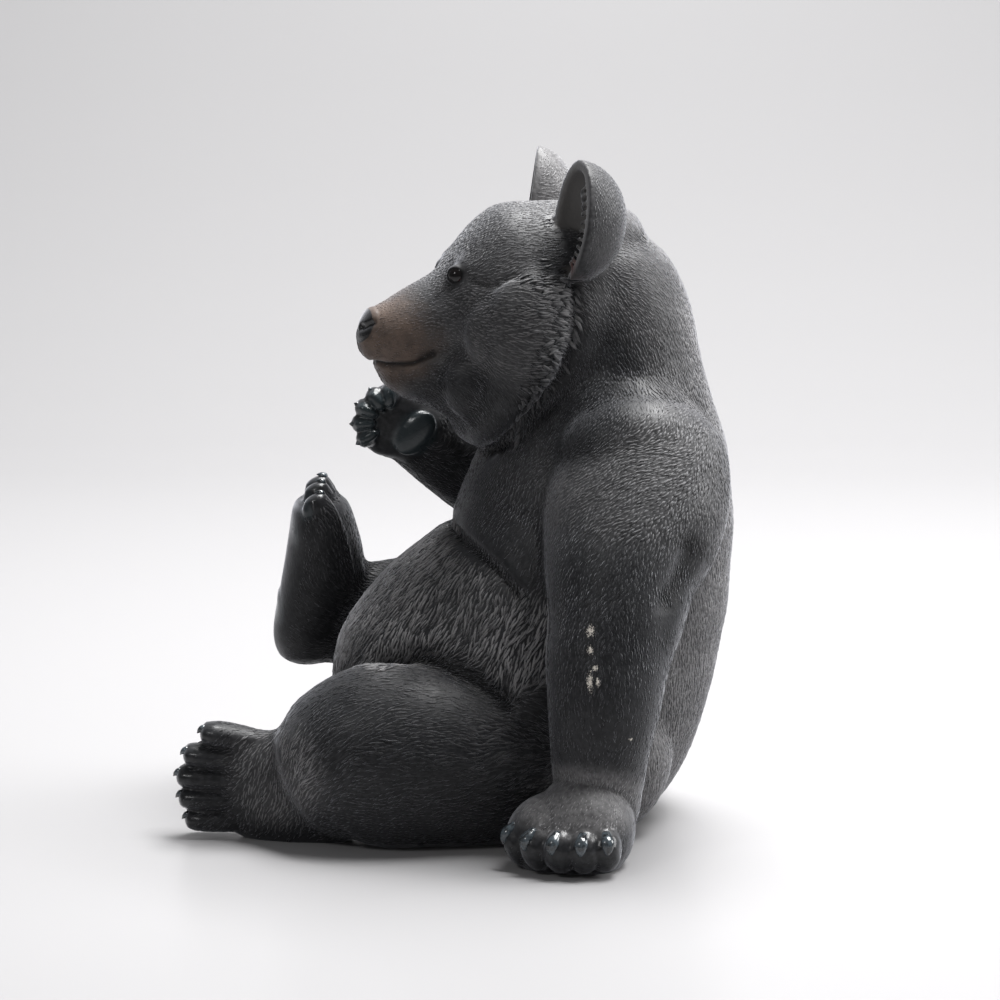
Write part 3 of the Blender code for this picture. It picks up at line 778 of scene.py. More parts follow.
BODY_LIES = [
    ((75, 0, 295), (0.7, 0, -0.7), 1.0, "back"),
    ((95, 0, 255), (0.35, 0, -1), 1.0, "back"),
    ((107, 0, 205), (0.1, 0, -1), 1.0, "back"),
    ((115, 0, 160), (-0.05, 0, -1), 1.05, "back"),
    ((110, 0, 110), (-0.1, 0, -1), 1.1, "back"),
    ((98, 0, 55), (-0.2, 0, -1), 1.1, "back"),
    ((85, 0, 18), (-0.5, 0, -1), 1.0, "back"),
    ((85, -60, 90), (-0.1, -0.1, -1), 1.0, "back"),
    ((75, -70, 45), (-0.3, 0, -1), 1.0, "back"),
    ((85, 60, 90), (-0.1, 0.1, -1), 1.0, "back"),
    ((75, 70, 45), (-0.3, 0, -1), 1.0, "back"),
    ((60, 85, 110), (-0.2, 0, -1), 1.0, "back"),
    ((44, -58, 228), (-0.1, 0, -1), 0.65, "shoulders"),
    ((70, -50, 228), (0.1, -0.1, -1), 0.85, "shoulders"),
    ((92, -50, 205), (-0.6, -0.2, -0.75), 1.0, "shoulders"),
    ((72, -78, 190), (-0.85, -0.1, -0.35), 1.1, "shoulders"),
    ((62, -95, 165), (-0.7, -0.1, -0.6), 1.0, "shoulders"),
    ((35, -75, 185), (-0.8, 0, -0.5), 0.95, "shoulders"),
    ((98, -60, 165), (-0.2, -0.2, -1), 1.0, "shoulders"),
    ((48, 48, 235), (-0.1, 0, -1), 0.9, "shoulders"),
    ((78, 35, 225), (0, 0.1, -1), 0.95, "shoulders"),
    ((88, 55, 195), (-0.3, 0.2, -0.9), 1.0, "shoulders"),
    ((65, 78, 175), (-0.6, 0.1, -0.75), 1.0, "shoulders"),
    ((95, 50, 160), (-0.1, 0.2, -1), 1.0, "shoulders"),
    ((10, -50, 195), (-0.6, 0, -0.8), 0.85, "chest"),
    ((-10, -30, 180), (-0.4, 0, -1), 0.85, "chest"),
    ((-20, 0, 165), (-0.3, 0, -1), 0.85, "chest"),
    ((0, -58, 152), (-0.6, 0, -0.8), 0.85, "chest"),
    ((-14, -46, 154), (-0.5, 0, -0.9), 0.9, "chest"),
    ((12, -72, 138), (-0.5, 0, -0.9), 0.9, "chest"),
    ((-34, -12, 141), (-0.4, 0, -1), 1.1, "belly"),
    ((-30, -40, 136), (-0.35, 0, -1), 1.15, "belly"),
    ((-14, -62, 128), (-0.3, 0, -1), 1.15, "belly"),
    ((6, -74, 116), (-0.25, 0, -1), 1.2, "belly"),
    ((-10, 40, 160), (-0.4, 0, -1), 0.9, "chest"),
    ((-45, -40, 132), (-0.4, 0, -1), 1.15, "belly"),
    ((-65, 0, 115), (-0.3, 0, -1), 1.15, "belly"),
    ((-78, -15, 90), (-0.1, 0, -1), 1.15, "belly"),
    ((-45, -65, 110), (-0.25, 0, -1), 1.2, "belly"),
    ((-10, -75, 115), (-0.25, 0, -1), 1.2, "belly"),
    ((5, -80, 90), (-0.2, 0, -1), 1.2, "belly"),
    ((-50, -60, 90), (-0.3, 0, -1), 1.2, "belly"),
    ((-75, 10, 60), (0.1, 0, -1), 1.1, "belly"),
    ((-40, 50, 120), (-0.3, 0, -1), 1.1, "belly"),
    ((62, -100, 145), (-0.35, 0, -1), 0.9, "left arm"),
    ((40, -105, 140), (-0.2, 0, -1), 0.85, "left arm"),
    ((50, -125, 105), (-0.05, 0, -1), 0.8, "left arm"),
    ((85, -95, 115), (-0.1, 0, -1), 0.9, "left arm"),
    ((50, -130, 70), (0, 0, -1), 0.8, "left arm"),
    ((75, -105, 70), (0, 0, -1), 0.85, "left arm"),
    ((47, -127, 48), (-0.1, -0.15, -1), 0.7, "left arm"),
    ((42, -126, 32), (-0.4, -0.8, -0.6), 0.5, "left arm"),
    ((25, -120, 24), (-0.8, -0.5, -0.5), 0.5, "left arm"),
    ((25, -88, 68), (-0.9, 0, 0.5), 0.95, "left leg"),
    ((-10, -85, 82), (-1, 0, 0.35), 0.95, "left leg"),
    ((-40, -80, 87), (-1, 0, 0.05), 0.95, "left leg"),
    ((-70, -75, 80), (-1, 0, -0.4), 0.95, "left leg"),
    ((-92, -75, 60), (-0.6, 0, -0.9), 0.9, "left leg"),
    ((-20, -100, 55), (-1, 0, 0.05), 1.0, "left leg"),
    ((-55, -104, 50), (-1, 0, -0.25), 1.0, "left leg"),
    ((-82, -95, 45), (-0.8, 0, -0.7), 0.95, "left leg"),
    ((-10, -98, 20), (-1, 0, 0), 1.0, "left leg"),
    ((-60, -98, 15), (-1, 0, -0.1), 1.0, "left leg"),
    ((-75, -35, 65), (-1, 0, -0.3), 0.95, "left leg"),
    ((-100, -75, 40), (-0.3, 0, -1), 0.85, "left leg"),
    ((-114, -70, 40), (-0.25, 0, -1), 0.8, "left leg"),
    ((-118, -68, 26), (-0.3, 0, -1), 0.75, "left leg"),
    ((-135, -62, 30), (-1, 0, -0.1), 0.5, "left leg"),
    ((-110, -50, 55), (-1, 0, -0.2), 0.7, "left leg"),
    ((20, 90, 80), (-0.8, 0, 0.4), 1.0, "right leg"),
    ((-20, 60, 118), (-1, 0, 0.25), 0.95, "right leg"),
    ((-20, 95, 80), (-1, 0, 0.3), 1.0, "right leg"),
    ((-55, 55, 118), (-1, 0, 0.1), 0.85, "right leg"),
    ((-55, 55, 62), (-1, 0, 0.2), 0.85, "right leg"),
    ((-60, 82, 90), (-1, 0, 0.2), 0.85, "right leg"),
    ((-60, 30, 90), (-1, 0, 0.2), 0.85, "right leg"),
    ((-85, 22, 95), (-0.9, 0, 0.5), 0.75, "right leg"),
    ((-68, 47, 135), (0, 0, 1), 0.7, "right leg"),
    ((-90, 20, 125), (-0.2, 0, 1), 0.7, "right leg"),
    ((-90, 75, 125), (-0.2, 0, 1), 0.7, "right leg"),
    ((-90, 48, 62), (-1, 0, 0.3), 0.75, "right leg"),
    ((20, 85, 40), (-0.5, 0.1, -0.8), 1.0, "right leg"),
    ((30, 88, 160), (-0.7, 0, -0.6), 0.9, "right arm"),
    ((5, 88, 148), (-1, 0, 0.2), 0.85, "right arm"),
    ((10, 60, 125), (-1, 0, 0.2), 0.85, "right arm"),
    ((-20, 38, 165), (-0.8, -0.2, 0.6), 0.8, "right arm"),
    ((-25, 75, 175), (-0.8, -0.2, 0.6), 0.8, "right arm"),
    ((-45, 60, 195), (-0.7, -0.2, 0.7), 0.7, "right arm"),
    ((-48, 30, 178), (-0.7, -0.2, 0.7), 0.7, "right arm"),
]
COMB_POWER = 3.5  # how strongly the nearest line decides
STROKE_REACH = 4.6  # length of a stroke of size 1
COAT_MERGE = 12.0  # how softly one part of the coat goes over into the next, in units
COAT_POWER = 5.5

lies = [(Vector(place), Vector(way), size, part) for place, way, size, part in BODY_LIES]
for side in BOTH:
    for place, way, size in HEAD_LIES:
        spot = head_place @ Vector((place[0], side * place[1], place[2]))
        hair = head_place.to_3x3() @ Vector((way[0], side * way[1], way[2]))
        lies.append((spot, hair, size, "head"))

# How much of the pale dry brushing, partly painted light, each part of the coat got, and the painted sheen over some of
# them
BRUSHING_AND_PAINTED_LIGHT = {
    "back": 0.72,
    "belly": 1.9,
    "chest": 0.03,
    "head": 0.60,
    "left arm": 0.05,
    "left leg": 0.11,
    "right arm": 0.08,
    "right leg": 0.12,
    "shoulders": 0.62,
}
# Painted sheen: a pale haze that stands in for the light catching the back, the shoulders and the head
PAINTED_SHEEN = {"back": 0.44, "belly": 0.02, "head": 0.13, "shoulders": 0.16}
surface = Surface(cast_mesh)
points = surface.points
places = np.array([tuple(lie[0]) for lie in lies], np.float32)
ways = np.array([tuple(lie[1].normalized()) for lie in lies], np.float32)
sizes = np.array([lie[2] for lie in lies], np.float32)
gaps = np.sqrt(((points[:, None] - places[None]) ** 2).sum(2)) + 2.0
shares = gaps**-COMB_POWER
shares /= shares.sum(1, keepdims=True)
flow = shares @ ways
stroke = shares @ sizes
normals = np.empty(len(points) * 3, np.float32)
cast_mesh.vertices.foreach_get("normal", normals)
normals = normals.reshape(-1, 3)
flow -= normals * (flow * normals).sum(1, keepdims=True)
flow /= np.linalg.norm(flow, axis=1, keepdims=True) + 1e-6

# Each stroke ends on the skin ahead of it, so it is shorter over a tight curve and never hangs free.
body = BVHTree.FromBMesh(as_shape(cast_mesh))
ahead = points + flow * (STROKE_REACH * stroke)[:, None]
ahead[:, 2] = np.maximum(ahead[:, 2], 2.0)
ends = np.array([tuple(body.find_nearest(Vector(spot))[0]) for spot in ahead.tolist()], np.float32)
ends[:, 2] = np.maximum(ends[:, 2], 2.0)
flow = ends - points
run = np.linalg.norm(flow, axis=1)
flow /= run[:, None] + 1e-6
stroke *= np.clip(run / (STROKE_REACH * stroke), 0.3, 1)
parts = sorted({lie[3] for lie in lies})
part_of = np.array([parts.index(lie[3]) for lie in lies])
pulls = (gaps + COAT_MERGE) ** -COAT_POWER
pulls /= pulls.sum(1, keepdims=True)
coat_share = np.stack([pulls[:, part_of == k].sum(1) for k in range(len(parts))], 1)


def inside(middle, radii, turn=Matrix(), soft_edge=0.15):
    """1 in an oval, falling to 0 at its edge."""
    back = np.array((Matrix.Translation(middle) @ turn @ Matrix.Diagonal((*radii, 1))).inverted())
    there = points @ back[:3, :3].T + back[:3, 3]
    return np.clip((1 + soft_edge - np.linalg.norm(there, axis=1)) / soft_edge, 0, 1)


def inside_head(middle, radii, turn=Matrix(), soft_edge=0.15):
    place = head_place @ Matrix.Translation(middle) @ turn
    return inside(place.to_translation(), radii, place.to_quaternion().to_matrix().to_4x4(), soft_edge)


# Bare places, where no hair is cut: nose, lips, eyes, ear cups, pads, the tips of the toes and below
bare = inside_head((-72, 0, 252), (10, 14, 10))
pad_mask = np.zeros(len(points), np.float32)
for middle_of_pad, radii, turn in pads:
    pad_mask = np.maximum(pad_mask, inside(middle_of_pad, [r + 1.2 for r in radii], turn))
cup_mask = np.zeros(len(points), np.float32)
for side in BOTH:
    rim_middle, turn = ear_frame(side)
    facing = head_place.to_3x3() @ turn.to_3x3() @ Vector((-1, 0, 0))
    before = (points - np.array(head_place @ rim_middle)) @ np.array(facing)
    cup = np.array((EAR_HOLLOW, EAR_RADII[0] - EAR_WALL, EAR_RADII[1] - EAR_WALL))
    shell = (EAR_DEPTHS[side] + 2, EAR_RADII[0] + 2, EAR_RADII[1] + 2)
    skin_of_cup = inside_head(rim_middle, cup * 1.09, turn) - inside_head(rim_middle, cup * 0.84, turn)
    cup_mask = np.maximum(cup_mask, skin_of_cup * (before < 1.2))
    bare = np.maximum(bare, inside_head(rim_middle, shell, turn) * (np.abs(before) < 2.2))
    bare = np.maximum(bare, inside_head(EYES[side], (6.8, 6.8, 6)))
    bare = np.maximum(bare, surface.near(head_path(MOUTH, side), 2.0) * 1.5)
toe_mask = np.zeros(len(points), np.float32)
for quick, nail, *_ in claws:
    toe_mask = np.maximum(toe_mask, inside(quick.lerp(nail, 0.4), (7, 7, 7), soft_edge=0.5))
sole = (points[:, 0] < -99) & (points[:, 1] > 20) & (points[:, 2] > 60) & (normals[:, 0] < -0.5)
palm = inside((-55, 28, 195), (24, 14, 24)) * (normals[:, 1] < -0.2)
for mask in (pad_mask, cup_mask, toe_mask, sole.astype(np.float32), palm, points[:, 2] < 2.6):
    bare = np.maximum(bare, mask)
bare = np.clip(bare, 0, 1)

brushing_and_painted_light = coat_share @ np.array([BRUSHING_AND_PAINTED_LIGHT[part] for part in parts])
haze = coat_share @ np.array([PAINTED_SHEEN.get(part, 0) for part in parts])
# Painted light: the lit tops of the lying foot and the planted paw and the lit far ear get more brushing and painted
# sheen
lit_top_of_foot = inside((-106, -74, 38), (22, 26, 22), soft_edge=0.5)
lit_top_of_paw = inside((38, -122, 34), (26, 24, 12), soft_edge=0.6)
lit_far_ear = inside_head(EAR_RIMS[1] + Vector((8, 0, 8)), (34, 34, 34), soft_edge=0.3)
brushing_and_painted_light += 1.0 * lit_top_of_foot + 1.0 * lit_top_of_paw + 0.6 * lit_far_ear
haze += 0.10 * lit_top_of_foot + 0.46 * lit_top_of_paw + 0.46 * lit_far_ear
# Painted shade: less brushing and sheen where shade falls on the neck below the cheek fur, under the jaw and before the
# ear's base
for side in BOTH:
    shade = 0.9 * inside((44, side * 54, 216), (24, 26, 34), soft_edge=0.45)
    shade = np.maximum(shade, 0.85 * inside_head((-22, side * 28, 210), (30, 32, 18), soft_edge=0.6))
    shade = np.maximum(shade, 0.85 * inside_head((18, side * 50, 288), (11, 13, 17), soft_edge=0.5))
    brushing_and_painted_light *= 1 - shade
    haze *= 1 - shade
masks = {"stroke": stroke, "brush": brushing_and_painted_light, "haze": haze, "pad": pad_mask, "cup": cup_mask, "toe": toe_mask}
for name, values in masks.items():
    attribute = cast_mesh.attributes.new(name, "FLOAT", "POINT")
    attribute.data.foreach_set("value", values.astype(np.float32))
attribute = cast_mesh.attributes.new("flow", "FLOAT_VECTOR", "POINT")
attribute.data.foreach_set("vector", flow.ravel().astype(np.float32))
cast_mesh.transform(over_origin)
cast_mesh.shade_smooth()


# The paint
# Charcoal paint in a dull lacquer over the whole cast, rubbed paler where the strokes stand proud, with a painted sheen
# over the back, the shoulders, the paw tops and the far ear. The muzzle is brown, nose and lips are black, painted
# shade darkens the folds and creases, and the pale resin shows in a few chips on the left arm.

COAL = (0.006, 0.0063, 0.0072)
CHARCOAL = (0.019, 0.0195, 0.0215)
# Pale of the dry brushing, also used for painted light and painted sheen
RUBBED_AND_SHEEN = (0.225, 0.220, 0.222)
# Black of the nose, mouth and eyes, also used for painted shade
BLACK_AND_PAINTED_SHADE = (0.003, 0.003, 0.003)
MUZZLE_BROWN = (0.108, 0.077, 0.060)
MUZZLE_SHADE = (0.046, 0.033, 0.027)
CHIN_BROWN = (0.046, 0.026, 0.015)
EAR_GREY = (0.108, 0.104, 0.101)
EAR_RED = (0.085, 0.038, 0.030)
PAD_GREY = (0.018, 0.025, 0.028)
RESIN = (0.62, 0.58, 0.52)
MUZZLE = ((-60, 0, 243), (38, 33, 30))
CHIN = ((-50, 0, 216), (26, 26, 13))
NOSE_LEATHER = ((-73, 0, 251), (8.6, 13.5, 9.6))
CHIPS = [
    ((42.5, -121, 116.1), (2.2, 6, 2.6)),
    ((42.5, -123, 107.4), (1.4, 6, 1.9)),
    ((44.8, -126, 99.3), (1.3, 6, 1.5)),
    ((42.4, -126.7, 92.8), (1.4, 6, 5.0)),
    ((46.2, -127.5, 93.0), (1.2, 6, 1.7)),
    ((61.9, -125.7, 64.6), (0.9, 6, 0.9)),
]


def node(tree, kind, inputs=(), **settings):
    made = tree.nodes.new(kind)
    for name, value in settings.items():
        setattr(made, name, value)
    for name, value in dict(inputs).items():
        if isinstance(value, bpy.types.NodeSocket):
            tree.links.new(value, made.inputs[name])
        else:
            made.inputs[name].default_value = value
    return made


def mixed(tree, share, first, second):
    """A colour between two colours."""
    made = node(tree, "ShaderNodeMix", data_type="RGBA")
    for socket, value in ((made.inputs[0], share), (made.inputs[6], first), (made.inputs[7], second)):
        if isinstance(value, bpy.types.NodeSocket):
            tree.links.new(value, socket)
        else:
            socket.default_value = (*value, 1) if isinstance(value, tuple) else value
    return made.outputs[2]


def maths(tree, operation, first, second=0.5, third=0.5):
    made = node(tree, "ShaderNodeMath", operation=operation)
    for socket, value in zip(made.inputs, (first, second, third)):
        if isinstance(value, bpy.types.NodeSocket):
            tree.links.new(value, socket)
        else:
            socket.default_value = value
    return made.outputs[0]


def ramp(tree, value, low, high, to_low=0.0, to_high=1.0):
    inputs = {"Value": value, "From Min": low, "From Max": high, "To Min": to_low, "To Max": to_high}
    return node(tree, "ShaderNodeMapRange", inputs, interpolation_type="SMOOTHSTEP").outputs[0]


def noise(tree, place, scale, detail=3.0, roughness=0.5):
    inputs = {"Vector": place, "Scale": scale, "Detail": detail, "Roughness": roughness}
    return node(tree, "ShaderNodeTexNoise", inputs).outputs[0]


def reading(tree, name):
    return node(tree, "ShaderNodeAttribute", attribute_name=name).outputs["Fac"]


def oval(tree, place, centre, radii, turn=(0, 0, 0)):
    """Distance from the middle of an oval on the cub, 1 at its edge."""
    inputs = {"Vector": place, "Location": over_origin @ Vector(centre), "Rotation": turn}
    inputs["Scale"] = Vector(radii) * unit
    there = node(tree, "ShaderNodeMapping", inputs, vector_type="TEXTURE").outputs[0]
    return node(tree, "ShaderNodeVectorMath", {0: there}, operation="LENGTH").outputs["Value"]


def head_oval(tree, place, centre, radii):
    return oval(tree, place, head_place @ Vector(centre), radii, (0, 0, math.radians(HEAD_TURN)))


def fur_paint(name):
    """The paint of the cast and of the raised strokes, which read how far they stand proud."""
    made = bpy.data.materials.new(name)
    made.use_nodes = True
    tree = made.node_tree
    surface_of = tree.nodes["Principled BSDF"]
    place = node(tree, "ShaderNodeTexCoord").outputs["Object"]
    proud = reading(tree, "ridge")
    tint = reading(tree, "tint")

    broad = noise(tree, place, 22, 4)
    fine = noise(tree, place, 420, 2)
    # Rubbed paler where the strokes stand proud, partly dry brushing and partly painted light, with the painted sheen
    # added over it
    rub_and_sheen = maths(tree, "MULTIPLY", ramp(tree, proud, 0.25, 0.95), ramp(tree, broad, 0.35, 0.7, 0.35, 1.0))
    rub_and_sheen = maths(tree, "MULTIPLY", rub_and_sheen, ramp(tree, tint, 0.0, 1.0, 0.3, 1.0))
    rub_and_sheen = maths(tree, "MULTIPLY", rub_and_sheen, reading(tree, "brush"))
    black = mixed(tree, ramp(tree, fine, 0.3, 0.75), COAL, CHARCOAL)
    rub_and_sheen = maths(tree, "ADD", rub_and_sheen, maths(tree, "MULTIPLY", reading(tree, "haze"), ramp(tree, fine, 0.2, 0.7, 0.6, 1.2)))
    coat = mixed(tree, rub_and_sheen, black, RUBBED_AND_SHEEN)

    edge = noise(tree, place, 60, 3)
    muzzle = maths(tree, "ADD", head_oval(tree, place, *MUZZLE), maths(tree, "MULTIPLY", edge, 0.35))
    brown_share = ramp(tree, muzzle, 1.25, 0.72)
    smudge = maths(tree, "ADD", noise(tree, place, 130, 4, 0.6), maths(tree, "MULTIPLY", fine, 0.5))
    brown = mixed(tree, ramp(tree, smudge, 0.55, 1.05, 0.0, 0.85), MUZZLE_BROWN, MUZZLE_SHADE)
    brown = mixed(tree, ramp(tree, head_oval(tree, place, *CHIN), 1.15, 0.75), brown, CHIN_BROWN)
    coat = mixed(tree, maths(tree, "MULTIPLY", brown_share, 0.95), coat, brown)

    coat = mixed(tree, reading(tree, "cup"), coat, EAR_GREY)
    for side in BOTH:
        low = EAR_RIMS[side] + Vector((2, side * 6, -21))
        red = ramp(tree, head_oval(tree, place, low, (8, 9, 10)), 1.0, 0.5)
        coat = mixed(tree, maths(tree, "MULTIPLY", red, reading(tree, "cup")), coat, EAR_RED)
    coat = mixed(tree, reading(tree, "pad"), coat, PAD_GREY)
    # Black of the mouth, nostrils and eye rims, and painted shade in the folds and creases
    coat = mixed(tree, maths(tree, "MULTIPLY", reading(tree, "black_marks_and_painted_shade"), 0.96), coat, BLACK_AND_PAINTED_SHADE)
    for side in BOTH:
        lid = ramp(tree, head_oval(tree, place, EYES[side], (6.4, 6.4, 5.6)), 1.1, 0.75)
        coat = mixed(tree, lid, coat, BLACK_AND_PAINTED_SHADE)
    leather = ramp(tree, head_oval(tree, place, *NOSE_LEATHER), 1.03, 0.94)
    coat = mixed(tree, leather, coat, BLACK_AND_PAINTED_SHADE)

    chipped = None
    ragged = maths(tree, "MULTIPLY", noise(tree, place, 1300, 3, 0.75), 4.5)
    for centre, radii in CHIPS:
        spot = ramp(tree, maths(tree, "ADD", oval(tree, place, centre, radii), ragged), 3.0, 2.8)
        chipped = spot if chipped is None else maths(tree, "MAXIMUM", chipped, spot)
    coat = mixed(tree, chipped, coat, RESIN)
    tree.links.new(coat, surface_of.inputs["Base Color"])

    gloss = maths(tree, "MAXIMUM", leather, maths(tree, "MULTIPLY", reading(tree, "pad"), 0.55))
    gloss = maths(tree, "MAXIMUM", gloss, maths(tree, "MULTIPLY", reading(tree, "toe"), 0.45))
    dull = ramp(tree, noise(tree, place, 90, 3), 0.3, 0.7, 0.36, 0.52)
    dull = maths(tree, "ADD", dull, maths(tree, "MULTIPLY", brown_share, 0.08))
    rough = node(tree, "ShaderNodeMix", {0: gloss, 2: dull, 3: 0.16}, data_type="FLOAT").outputs[0]
    tree.links.new(rough, surface_of.inputs["Roughness"])
    tree.links.new(maths(tree, "MULTIPLY", gloss, 0.7), surface_of.inputs["Coat Weight"])
    surface_of.inputs["Coat Roughness"].default_value = 0.14
    surface_of.inputs["Specular IOR Level"].default_value = 0.22
    surface_of.inputs["Sheen Weight"].default_value = 0.42
    surface_of.inputs["Sheen Roughness"].default_value = 0.4
    surface_of.inputs["Sheen Tint"].default_value = (0.86, 0.88, 0.95, 1)

    grain = maths(tree, "ADD", noise(tree, place, 700, 4, 0.6), maths(tree, "MULTIPLY", broad, 0.4))
    pores = node(tree, "ShaderNodeTexVoronoi", {"Vector": place, "Scale": 1100.0}).outputs["Distance"]
    grain = maths(tree, "ADD", grain, maths(tree, "MULTIPLY", maths(tree, "MULTIPLY", leather, pores), 0.8))
    bump = node(tree, "ShaderNodeBump", {"Height": grain, "Strength": 0.28, "Distance": 0.0006})
    tree.links.new(bump.outputs[0], surface_of.inputs["Normal"])
    return made


coat_paint = fur_paint("charcoal_coat_paint")
cast_mesh.materials.clear()
cast_mesh.materials.append(coat_paint)
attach(cast, "root")
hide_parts("bear_statue")

# Eyeballs
# Glossy painted eyes, almost black, with a dull red tint at the rear corner.

EYE_BLACK = (0.004, 0.003, 0.003)
EYE_CORNER = (0.060, 0.020, 0.020)


def eye_gloss():
    made = bpy.data.materials.new("eye_gloss")
    made.use_nodes = True
    tree = made.node_tree
    surface_of = tree.nodes["Principled BSDF"]
    place = node(tree, "ShaderNodeTexCoord").outputs["Object"]
    corner = None
    for side in BOTH:
        spot = EYES[side] + Vector((1.4, side * 3.2, -2.8))
        far = head_oval(tree, place, spot, (2.6, 2.6, 2.6))
        corner = far if corner is None else maths(tree, "MINIMUM", corner, far)
    speck = noise(tree, place, 1500, 2)
    warm = maths(tree, "MULTIPLY", ramp(tree, corner, 1.0, 0.5), ramp(tree, speck, 0.2, 0.7, 0.5, 1.0))
    tree.links.new(mixed(tree, warm, EYE_BLACK, EYE_CORNER), surface_of.inputs["Base Color"])
    tree.links.new(ramp(tree, speck, 0.3, 0.7, 0.05, 0.10), surface_of.inputs["Roughness"])
    surface_of.inputs["Specular IOR Level"].default_value = 0.4
    return made


eyeballs = [on_head(ball(EYES[side], (EYE_RADIUS,) * 3, rounds=48)) for side in BOTH]
eye_mesh = joined(eyeballs, "eyes")
eye_mesh.transform(over_origin)
eye_mesh.shade_smooth()
eye_mesh.materials.append(eye_gloss())
eyes = new_object("eyes", eye_mesh)
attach(eyes, "root")

# Claws
# Teardrop claws over the tips of the toes, picked out in a blue-grey gloss.

CLAW_BLUE = (0.060, 0.076, 0.088)
CLAW_ROOT = (0.014, 0.016, 0.018)


def claw_gloss():
    made = bpy.data.materials.new("claw_gloss")
    made.use_nodes = True
    tree = made.node_tree
    surface_of = tree.nodes["Principled BSDF"]
    place = node(tree, "ShaderNodeTexCoord").outputs["Object"]
    streak = noise(tree, place, 350, 4)
    tree.links.new(mixed(tree, ramp(tree, streak, 0.35, 0.65), CLAW_ROOT, CLAW_BLUE), surface_of.inputs["Base Color"])
    tree.links.new(ramp(tree, streak, 0.3, 0.7, 0.14, 0.26), surface_of.inputs["Roughness"])
    bump = node(tree, "ShaderNodeBump", {"Height": streak, "Strength": 0.15, "Distance": 0.0004})
    tree.links.new(bump.outputs[0], surface_of.inputs["Normal"])
    surface_of.inputs["Coat Weight"].default_value = 0.6
    surface_of.inputs["Coat Roughness"].default_value = 0.08
    return made


claw_mesh = joined([tapered(*claw, sides=20, steps=6) for claw in claws], "claws")
claw_mesh.transform(over_origin)
claw_mesh.shade_smooth()
claw_mesh.materials.append(claw_gloss())
claw_set = new_object("claws", claw_mesh)
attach(claw_set, "root")

# Cheek locks
# Thicker locks along the rear edge of the cheek fur. They are undercut, so their tips stand free over
# the groove behind them.

LOCKS = 300  # on each side
BAND = 22  # how far the locks reach in front of the edge
LOCK_HEIGHT = 1.1
loose = random.Random(11)
skin_points = KDTree(len(points))
for index, point in enumerate(points.tolist()):
    skin_points.insert(point, index)
skin_points.balance()


def cheek_locks(side):
    """Each lock's form, and its place and outward direction."""
    found = []
    edge = head_path(RUFF_GROOVE, side)
    for k in range(LOCKS):
        near_edge = edge[int(6 + (k + loose.random()) / LOCKS * (len(edge) - 24))]
        index = skin_points.find(near_edge)[1]
        past = 0.5 - BAND * loose.random() ** 1.5
        index = skin_points.find(near_edge + Vector(flow[index]) * past)[1]
        spot, way, out = Vector(points[index]), Vector(flow[index]), Vector(normals[index])
        broad = out.cross(way).normalized()
        way = (way + broad * loose.uniform(-0.3, 0.3)).normalized()
        size = loose.uniform(0.75, 1.15) * (1 + 0.25 * past / BAND)
        root = spot - way * 5.0 * size - out * 0.7
        tip = spot + way * 4.0 * size + out * 0.1
        bow = out * LOCK_HEIGHT * 0.7 * size + broad * loose.uniform(-1.1, 1.1)
        found.append((tapered(root, tip, bow, 0.86 * size, 0.72 * size, broad, sides=8, steps=2), spot, out))
    return found


lock_set = [lock for side in BOTH for lock in cheek_locks(side)]
lock_mesh = joined([form for form, spot, out in lock_set], "cheek_locks")
lock_points = Surface(lock_mesh).points.reshape(len(lock_set), -1, 3)
above = lock_points - np.array([[spot] for form, spot, out in lock_set])
rise = (above * np.array([[out] for form, spot, out in lock_set])).sum(2).ravel()
shades = np.repeat([loose.random() for lock in lock_set], lock_points.shape[1])
lock_masks = {"ridge": rise / LOCK_HEIGHT, "tint": shades, "brush": 0.62 + 0 * shades}
for name, values in lock_masks.items():
    attribute = lock_mesh.attributes.new(name, "FLOAT", "POINT")
    attribute.data.foreach_set("value", np.clip(values, 0, 1).astype(np.float32))
lock_mesh.transform(over_origin)
lock_mesh.shade_smooth()
lock_mesh.materials.append(coat_paint)
locks = new_object("cheek_locks", lock_mesh)
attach(locks, "root")

# Carved fur
# Every hair is a stroke cut with a small gouge, so it stands as a low ridge that is round in front and
# runs out to a point. Strokes follow the lie of the coat, and overlap like shingles.

STROKE_SHAPES = 4  # strokes with different bends


def stroke_mesh(k):
    """A ridge one unit long, half a unit to each side and one unit high, with its foot below the skin."""
    sway = (-0.28, -0.08, 0.1, 0.3)[k]
    ridge = bmesh.new()
    layer = ridge.verts.layers.float.new("ridge")
    outline = [(0, 0, -0.45, 0), (0.3, -0.5, -0.45, 0), (1, sway, 0.05, 0.9), (0.3, 0.5, -0.45, 0)]
    spine = [(0.22, 0, 0.85, 0.9), (0.66, sway * 0.5, 0.95, 1)]
    verts = []
    for x, y, z, high_share in outline + spine:
        vert = ridge.verts.new((x, y, z))
        vert[layer] = high_share
        verts.append(vert)
    root, left, tip, right, brow_end, crest = verts
    for corners in (
        (root, left, brow_end),
        (root, brow_end, right),
        (left, crest, brow_end),
        (left, tip, crest),
        (right, brow_end, crest),
        (right, crest, tip),
        (root, right, left),
        (left, right, tip),
    ):
        ridge.faces.new(corners)
    bmesh.ops.recalc_face_normals(ridge, faces=ridge.faces)
    mesh = bpy.data.meshes.new("stroke")
    ridge.to_mesh(mesh)
    mesh.shade_smooth()
    return mesh


stroke_shapes = bpy.data.collections.new("stroke shapes")
for k in range(STROKE_SHAPES):
    stroke_shapes.objects.link(bpy.data.objects.new(f"stroke_{k}", stroke_mesh(k)))


